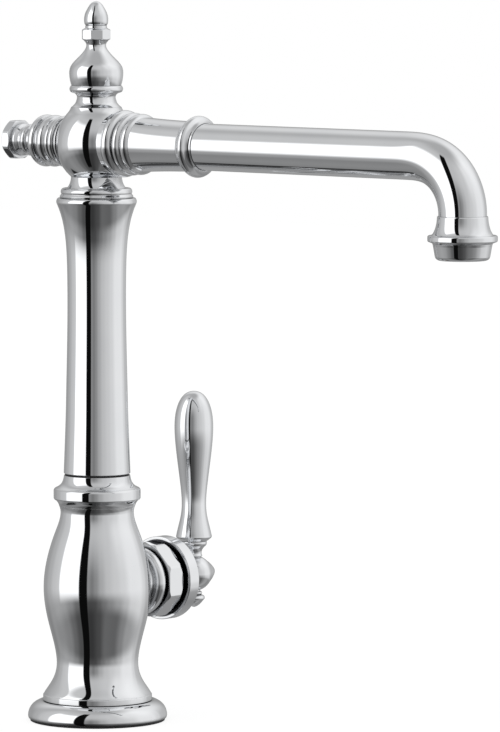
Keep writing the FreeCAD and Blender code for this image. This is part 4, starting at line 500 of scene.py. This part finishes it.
# Half sections in millimetres, each a closed path of corners (radius, height along the axis).
# Two corners are joined by a straight line, by the arc through an Arc, or by a curve with a list of
# controls. A piece with several rows has several shells.
TURNED = (
    ("deck_gasket", COLUMN, [
        (16.2, 0), (32.2, 0), (32.2, 1.2), (16.2, 1.2),
    ]),
    ("base_flange", COLUMN, [
        (15.2, 1.2), (32.9, 1.2),
        [(33.5, 2.0), (33.0, 6.6), (29.45, 9.01)],
        (27.2, 9.6), (15.2, 9.6),
    ]),
    ("lower_body", COLUMN, [
        (14.45, 9.6), (25.6, 9.6), Arc(25.88, 9.72), (26, 10), (26, 12.2), Arc(25.88, 12.48),
        (25.6, 12.6), (25.5, 13),
        [
            (24.34, 15.43), (15.82, 23.44), (25.18, 50.17),
            (26.43, 69.97), (20.74, 89.86), (16.24, 99.04),
        ],
        (18.2, 103), (14.95, 103), (14.95, 86), (13.45, 86), (13.45, 84),
        [(20.74, 79.66), (23.83, 71.6), (22.58, 53), (17.12, 37.5)],
        (15.35, 23.6), (14.45, 22),
    ]),
    ("lower_body", VALVE, [
        (11.3, 8), (12.9, 8), (12.9, 26.6), (13.9, 26.8), Arc(16.5, 29.8), (13.9, 32.8), (13.1, 33),
        (12.8, 33), (12.8, 41.3), (11.3, 41.3),
    ]),
    ("body_collar", COLUMN, [
        (12.46, 103), (18.2, 103), [(18.5, 104.31), (19.1, 104.89)],
        (19.85, 105.75), Arc(20.5, 106.12), (20.75, 106.84), (20.75, 110.25),
        Arc(20.4, 111.05), (19.55, 111.56), [(16.9, 112.86), (16.2, 114.31)],
        (15.8, 117.5), (9.2, 117.5), (9.2, 116.7), (12.46, 116.7),
    ]),
    ("column_tube", COLUMN, [
        (11.5, 118.3), (15.6, 118.3), (15.9, 118.6),
        [(14.78, 146.33), (14.78, 152.5), (14, 183.19), (13.74, 214), (14.7, 237.75)],
        (18.9, 247), Arc(19.1, 248.35), (18.4, 249.7), (11.5, 249.7),
    ]),
    ("neck_ring", COLUMN, [
        (11.5, 249.7), (17.3, 249.7), (17.5, 250.6), (16.7, 251.7), Arc(17, 252.9), (16, 254.4),
        (11.5, 254.4),
    ]),
    ("ball_tee", COLUMN, [
        (6.56, 242), (11.45, 242), (11.45, 254.4), (14, 254.4), [(12.7, 256.02), (12.1, 257.91)],
        (12.1, 259.8), Arc(19.3, 275.64), (14, 289.6), [(13.05, 290.56), (12.25, 291.84)],
        (12, 292.8), (5.2, 292.8), (5.2, 286.8), Arc(15.9, 275.94), (6.56, 265.08), (6.56, 248),
        (8.56, 248), (8.56, 246), (6.56, 246),
    ]),
    ("ball_tee", SPOUT, [(11.05, 12), (14.5, 12), (14.5, 15.4), (11.05, 15.4)]),
    ("ball_tee", PLUG, [(6.05, 12), (11.3, 12), (11.3, 16), (6.05, 16)]),
    ("finial_base", COLUMN, [
        (0, 286.8), (5.15, 286.8), (5.15, 292.8), (11.9, 292.8),
        [(10, 294.19), (9.5, 295.97), (8.9, 297.62), (9.6, 299)],
        (10.4, 299.4), (12, 299.9), Arc(12.7, 301.4), (11.8, 303.1), (2.55, 303.1), (2.55, 295.9),
        (0, 295.9),
    ]),
    ("finial_bulb", COLUMN, [
        (0, 296.1), (2.5, 296.1), (2.5, 303.1), (11.8, 303.1),
        [
            (12.42, 304.82), (12.96, 308.34), (12.64, 312.45),
            (8.33, 316.44), (4.62, 320.46), (4.3, 322.99),
        ],
        (5.9, 324.3), (2.05, 324.3), (2.05, 317.1), (0, 317.1),
    ]),
    ("finial_tip", COLUMN, [
        (0, 317.3), (2, 317.3), (2, 331.5), (5, 331.5), (5.5, 332.2),
        [(5.8, 333.17), (5.8, 336.52), (3.77, 340.08), (2.15, 342.62)],
        (0, 343),
    ]),
    ("spout_collar", SPOUT, [
        (13.05, 15.4), (14.6, 15.4), Arc(15.9, 18.0), (14.4, 20.6), (13.2, 21.3), (13.9, 22.0),
        Arc(14.8, 23.7), (13.8, 25.4), (13, 26), (13.5, 26.6), Arc(14.4, 28.8),
        (13.4, 30.6), (12.7, 31.2), (11.05, 31.2), (11.05, 17.4), (13.05, 17.4),
    ]),
    ("spout_sleeve", SPOUT, [
        (11.05, 31.2), (12.9, 31.2),
        [(12.35, 38.3), (12, 48.24)],
        (11.8, 59.6), (11.05, 59.6),
    ]),
    ("spout_bead", SPOUT, [
        (11.05, 59.6), (11.9, 59.6), Arc(12.3, 61.1), (13.2, 62.05), Arc(14.5, 64.05),
        (13.2, 66.05), Arc(12, 67.1), (11.4, 68.5), (11.05, 68.5),
    ]),
    ("outlet_ferrule", OUTLET, [
        (11.05, 249.6), (11.4, 249.6), (11.6, 249.2),
        [(11.7, 245.51), (12.8, 242.23)],
        (14.1, 241.1), (15.2, 240.95), Arc(15.75, 240.7), (15.95, 240.15), (15.95, 238.75),
        Arc(15.75, 238.2), (15.2, 237.95), (13.7, 237.3), (10.95, 237.3), (10.95, 242), (11.05, 242),
    ]),
    ("aerator_shell", OUTLET, [
        (8.8, 229.6), (10.5, 229.6), Arc(12, 230.3), (12.6, 231.6), (13.4, 236.1), (13.7, 237.3),
        (10.9, 237.3), (10.9, 240.2), (9.6, 240.2), (9.6, 230.8), (8.8, 230.8),
    ]),
    ("back_collar", PLUG, [
        (8.05, 16), (11.8, 16), Arc(11.7, 17), (10.9, 17.89), Arc(12.2, 19.6), (10.9, 21.3),
        Arc(11.5, 22.61), (10.9, 23.9), Arc(12.3, 26.39), (10.9, 28.74), (10.9, 29.8),
        (12, 30.29), Arc(12.4, 32), (11.9, 33.31), (10.4, 34.2), (6.05, 34.2), (6.05, 18),
        (8.05, 18),
    ]),
    ("handle_disc", DISC, [
        (17.5, -2.4), (19.68, -2.4), Arc(19.98, -2.28), (20.1, -1.98), (20.1, 3.8),
        Arc(19.89, 4.29), (19.4, 4.5),
        [(16.2, 5.1), (11.72, 5.7)],
        (6.6, 5.7), (4.45, 5.7), (4.45, 3), (17.5, 3),
    ]),
    ("handle_hub", HUB, [
        (0, 0), (4.4, 0), (4.4, 7.7), (6.6, 7.7), (6.4, 9.3),
        [(4.8, 12.61), (4.6, 15.92)],
        (4.64, 18.76), Arc(8.6, 25.5), (6.9, 30.8),
        [(5.7, 33.4), (3.3, 37.0), (1.4, 39.6)],
        (0, 40),
    ]),
    ("lever_ferrule", LEVER, [
        (2.55, 71.2), (3.4, 71.2), (3.6, 72.1), (4.1, 72.7), (3.7, 73.6),
        [(3.7, 75.2), (4.2, 76.2)],
        (5.7, 77.5), Arc(6.3, 78.6), (6, 80), (2.55, 80),
    ]),
    ("lever", LEVER, [
        (0, 66.2), (2.5, 66.2), (2.5, 80), (6.7, 80), (8.2, 81.2), Arc(8.7, 82), (8.6, 82.6),
        [
            (7.94, 86.05), (5.8, 92.72), (5.8, 102.14), (8.01, 118.03),
            (10.25, 137.86), (7.3, 149.67), (3, 152.9),
        ],
        (0, 152.9),
    ]),
    ("lower_knob", LEVER, [
        (0, 60.8), (1.6, 60.8), (1.6, 56.8), (3.4, 56.8), (2.9, 56), (3.2, 55.2),
        Arc(3.95, 54.4), (3.3, 53.75), (4.4, 53.3), Arc(5.25, 52.3), (4.65, 51),
        [(3.65, 49.6), (1.9, 47.7)],
        (0, 47.4),
    ]),
)


# ---- turned pieces ----

# faces round a turned piece, and round the thread
SEGMENTS = 144
THREAD_SEGMENTS = 72
# a radius below this, in millimetres, lies on the axis
ON_AXIS = 1e-6
# edges are rounded by this much, in millimetres, or by a share of the shorter side, in so many steps
EDGE_ROUND = 0.14
MOST_CUT = 0.3
ROUND_STEPS = 4
# the cosine of 14 degrees: edges that meet at a smaller angle aren't rounded
SMOOTH_JOINT = math.cos(math.radians(14))


def trimmed(samples, cut, at_start):
    """Samples of one edge, shortened by a length at one end."""
    order = samples if at_start else samples[::-1]
    left = cut
    for index in range(len(order) - 1):
        here, there = order[index], order[index + 1]
        run = math.hypot(there[0] - here[0], there[1] - here[1])
        if run > left:
            share = left / run
            place = tuple(p + share * (q - p) for p, q in zip(here, there))
            kept = [(*place[:2], *unit(*place[2:])), *order[index + 1 :]]
            return kept if at_start else kept[::-1]
        left -= run
    return samples


def length_of(samples):
    return sum(math.hypot(b[0] - a[0], b[1] - a[1]) for a, b in zip(samples, samples[1:]))


def round_samples(start, corner, end):
    """A small round from one sample to another, drawn towards the corner that they were cut from."""
    (ax, ay), (bx, by), (cx, cy) = start[:2], end[:2], corner[:2]
    samples = [start]
    for step in range(1, ROUND_STEPS):
        u = step / ROUND_STEPS
        v = 1 - u
        x = v * v * ax + 2 * u * v * cx + u * u * bx
        y = v * v * ay + 2 * u * v * cy + u * u * by
        tangent = unit(v * (cx - ax) + u * (bx - cx), v * (cy - ay) + u * (by - cy))
        samples.append((x, y, *tangent))
    return [*samples, end]


def softened(edges):
    """The same edges with a small round where two of them meet at an angle."""
    lengths = [length_of(edge) for edge in edges]
    cut_edges = list(edges)
    rounded = []
    for index, edge in enumerate(edges):
        after = (index + 1) % len(edges)
        corner, start = edge[-1], edges[after][0]
        cosine = corner[2] * start[2] + corner[3] * start[3]
        if corner[0] < ON_AXIS or cosine > SMOOTH_JOINT:
            continue
        cut = min(EDGE_ROUND, lengths[index] * MOST_CUT, lengths[after] * MOST_CUT)
        cut_edges[index] = trimmed(cut_edges[index], cut, False)
        cut_edges[after] = trimmed(cut_edges[after], cut, True)
        rounded.append(index)
    woven = []
    for index, edge in enumerate(cut_edges):
        woven.append(edge)
        if index in rounded:
            following = cut_edges[(index + 1) % len(edges)]
            woven.append(round_samples(edge[-1], edges[index][-1], following[0]))
    return woven


def spokes_of(first, second, count):
    """Directions all round a circle, from the first towards the second."""
    turns = [2 * math.pi * index / count for index in range(count)]
    return [first * math.cos(turn) + second * math.sin(turn) for turn in turns]


class Shell:
    """Collects vertices, faces and exact corner normals for one mesh."""

    def __init__(self):
        self.places = []
        self.faces = []
        self.normals = []

    def add_place(self, place):
        self.places.append(place * MM)
        return len(self.places) - 1

    def add_face(self, corners, normals):
        """A face without the corners that repeat, or none where fewer than three are left."""
        kept = []
        for corner, normal in zip(corners, normals):
            if not kept or kept[-1][0] != corner:
                kept.append((corner, normal))
        if len(kept) > 1 and kept[0][0] == kept[-1][0]:
            kept.pop()
        if len(kept) > 2:
            self.faces.append([corner for corner, _ in kept])
            self.normals.append([normal for _, normal in kept])

    def lathe(self, path, axis):
        """Turns a closed path, which may run either way round, about an axis."""
        main, origin = axis
        first = Vector((1, 0, 0)) if main == UP else Vector((0, 0, -1))
        spokes = spokes_of(first, main.cross(first), SEGMENTS)
        edges = softened(profile_edges(path))
        corners = [sample for samples in edges for sample in samples[:-1]]
        area = sum(a[0] * b[1] - b[0] * a[1] for a, b in zip(corners, corners[1:] + corners[:1]))
        side = 1 if area > 0 else -1
        rings = {}

        def ring(x, y):
            key = (round(x, 5), round(y, 5))
            if key not in rings:
                middle = origin + main * y
                if x < ON_AXIS:
                    rings[key] = [self.add_place(middle)] * SEGMENTS
                else:
                    rings[key] = [self.add_place(middle + spoke * x) for spoke in spokes]
            return rings[key]

        for samples in edges:
            for (ax, ay, atx, aty), (bx, by, btx, bty) in zip(samples, samples[1:]):
                if ax < ON_AXIS and bx < ON_AXIS:
                    continue
                near, far = ring(ax, ay), ring(bx, by)
                near_out, near_up = side * aty, -side * atx
                far_out, far_up = side * bty, -side * btx
                for index in range(SEGMENTS):
                    after = (index + 1) % SEGMENTS
                    here, there = spokes[index], spokes[after]
                    loop = [near[index], near[after], far[after], far[index]]
                    normals = [
                        here * near_out + main * near_up,
                        there * near_out + main * near_up,
                        there * far_out + main * far_up,
                        here * far_out + main * far_up,
                    ]
                    if side < 0:
                        loop.reverse()
                        normals.reverse()
                    self.add_face(loop, normals)

    def ring_of(self, middle, across, up, radius):
        """A ring of places, with the directions in which they lie."""
        spokes = spokes_of(across, up, SEGMENTS)
        return spokes, [self.add_place(middle + spoke * radius) for spoke in spokes]

    def join_rings(self, near, far, inward=False):
        """A band of faces between two rings, each given as its spokes and its places."""
        for index in range(SEGMENTS):
            after = (index + 1) % SEGMENTS
            loop = [near[1][index], near[1][after], far[1][after], far[1][index]]
            normals = [near[0][index], near[0][after], far[0][after], far[0][index]]
            if inward:
                loop.reverse()
                normals = [-normal for normal in reversed(normals)]
            self.add_face(loop, normals)

    def cap(self, outer, inner, normal, reverse):
        """A flat end between the outer and the inner ring of a tube."""
        for index in range(SEGMENTS):
            after = (index + 1) % SEGMENTS
            loop = [outer[index], outer[after], inner[after], inner[index]]
            if reverse:
                loop.reverse()
            self.add_face(loop, [normal] * 4)

    def bent_tube(self, stations, outer, inner):
        """A tube along stations, each a place and a direction in the plane of the bend."""
        across = Vector((1, 0, 0))
        skins = []
        for place, direction in stations:
            up = direction.cross(across)
            skins.append([self.ring_of(place, across, up, radius) for radius in (outer, inner)])
        for (near_out, near_in), (far_out, far_in) in zip(skins, skins[1:]):
            self.join_rings(near_out, far_out)
            self.join_rings(near_in, far_in, True)
        for end, outwards, reverse in ((0, -1, True), (-1, 1, False)):
            (_, outer_places), (_, inner_places) = skins[end]
            self.cap(outer_places, inner_places, outwards * stations[end][1], reverse)

    def thread(self, crest, root, pitch, low, high):
        """A screw thread's skin round the Z axis, run out flat at both ends."""
        # where the groove and the crest begin and end, as shares of the pitch
        shape = ((0.0, root), (0.25, root), (0.5625, crest), (0.6875, crest))
        rows = []
        for turn in range(-1, math.ceil((high - low) / pitch) + 1):
            for share, radius in shape:
                row = []
                for index in range(THREAD_SEGMENTS):
                    height = low + pitch * (turn + share + index / THREAD_SEGMENTS)
                    inside = min(max(height, low), high)
                    kept = radius if low < height < high else root
                    spin = 2 * math.pi * index / THREAD_SEGMENTS
                    place = Vector((kept * math.cos(spin), kept * math.sin(spin), inside))
                    row.append((self.add_place(place), place))
                rows.append(row)
        for level in range(len(rows) - len(shape) - 1):
            for index in range(THREAD_SEGMENTS):
                # after one turn, a row goes on where the same row of the next turn begins
                last = index == THREAD_SEGMENTS - 1
                after = 0 if last else index + 1
                shift = len(shape) if last else 0
                loop = [
                    rows[level][index],
                    rows[level + shift][after],
                    rows[level + shift + 1][after],
                    rows[level + 1][index],
                ]
                if loop[0][1].z == loop[2][1].z:
                    continue
                normal = (loop[1][1] - loop[0][1]).cross(loop[3][1] - loop[0][1])
                if normal.length > 1e-9:
                    self.add_face([place for place, _ in loop], [normal.normalized()] * 4)

    def finish(self, replaced):
        """Makes the piece that stands for a CAD node, with that node's body, slot and finish."""
        name = f"{replaced}_skin"
        mesh = bpy.data.meshes.new(name)
        mesh.from_pydata([tuple(place) for place in self.places], [], self.faces)
        mesh.polygons.foreach_set("use_smooth", [True] * len(mesh.polygons))
        flat = [tuple(normal.normalized()) for normals in self.normals for normal in normals]
        mesh.normals_split_custom_set(flat)
        piece = bpy.data.objects.new(name, mesh)
        bpy.context.scene.collection.objects.link(piece)
        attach(piece, BODY_OF[replaced])
        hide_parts(replaced)
        mesh.materials.append(FINISHES.get(replaced, FINISHES[SLOT_OF[replaced]]))


# ---- the part ----

BODY_OF = {name: body for body, names in frame["record"]["behaviour"]["bodies"].items() for name in names}
SLOT_OF = {
    name: node.material_slots[0].material.name.split(".")[0] for name, node in frame["nodes"].items()
}
FINISHES = make_finishes()
EIGHT_SIDED = ("bonnet_nut", "back_plug", "finial_nut")

# the spout's tube in millimetres: its radii, its beginning and its lower end, and its bend, which goes
# down by BEND_DROP and from straight to its full curve over the length BEND_ONSET
TUBE_RADIUS = 11.0
TUBE_BORE = 9.8
TUBE_START = 12.0
TUBE_END = 242.0
BEND_DROP = 25.8
BEND_ONSET = 18.0
BEND_STEPS = 80
LEVEL_STEPS = 12

# the shank in millimetres: the half section of its tube, and the thread on it
SHANK = [(12.5, -60), (15.0, -60), (15.0, 9.6), (14.4, 9.6), (14.4, 21.8), (12.5, 21.8)]
THREAD_CREST = 16.0
THREAD_ROOT = 15.04
THREAD_PITCH = 1.5
THREAD_LOW = -59.4
THREAD_HIGH = 0.0


def make_turned_pieces():
    shells = {}
    for name, axis, path in TURNED:
        shells.setdefault(name, Shell()).lathe(path, axis)
    for name, shell in shells.items():
        shell.finish(name)


def bend_steps():
    """Steps of the quarter bend from its beginning: how far along, how far down, and how far turned."""
    # the gentle beginning adds about this much to the drop, so the radius is smaller by it
    added = BEND_ONSET**2 / (24 * BEND_DROP)
    radius = BEND_DROP - added
    length = radius * math.pi / 2 + BEND_ONSET / 2
    along, drop, turn = 0.0, 0.0, 0.0
    steps = [(along, drop, turn)]
    for step in range(1, BEND_STEPS + 1):
        gone = length * step / BEND_STEPS
        before = turn
        if gone < BEND_ONSET:
            turn = gone**2 / (2 * BEND_ONSET * radius)
        else:
            turn = (gone - BEND_ONSET / 2) / radius
        middle = (before + turn) / 2
        along += math.cos(middle) * length / BEND_STEPS
        drop += math.sin(middle) * length / BEND_STEPS
        steps.append((along, drop, turn))
    return steps


def make_spout_tube():
    """Level tube, quarter bend that begins gently, and the short end down into the ferrule."""
    bend = bend_steps()
    straight = SPOUT_REACH - bend[-1][0]
    stations = []
    for index in range(LEVEL_STEPS):
        gone = TUBE_START + (straight - TUBE_START) * index / LEVEL_STEPS
        stations.append((Vector((0, -gone, SPOUT_LEVEL)), ALONG_SPOUT))
    for along, drop, turn in bend:
        place = Vector((0, -straight - along, SPOUT_LEVEL - drop))
        stations.append((place, Vector((0, -math.cos(turn), -math.sin(turn)))))
    for height in (TUBE_END + 4, TUBE_END):
        stations.append((Vector((0, -SPOUT_REACH, height)), -UP))
    shell = Shell()
    shell.bent_tube(stations, TUBE_RADIUS, TUBE_BORE)
    shell.finish("spout_tube")


def make_shank():
    """Tube through the deck, with a coarse thread below the gasket."""
    shell = Shell()
    shell.lathe(SHANK, COLUMN)
    shell.thread(THREAD_CREST, THREAD_ROOT, THREAD_PITCH, THREAD_LOW, THREAD_HIGH)
    shell.finish("mounting_shank")


def dress_solids():
    """The solids whose shape stays get their finish; eight-sided ones also get softened edges."""
    soft_edges = chrome("polished_plating_soft_edges", rounding=SOFT_EDGE)
    for name, node in frame["nodes"].items():
        for holder in node.material_slots:
            holder.material = soft_edges if name in EIGHT_SIDED else FINISHES[SLOT_OF[name]]


make_world()
make_camera()
make_floor()
dress_solids()
make_turned_pieces()
make_spout_tube()
make_shank()
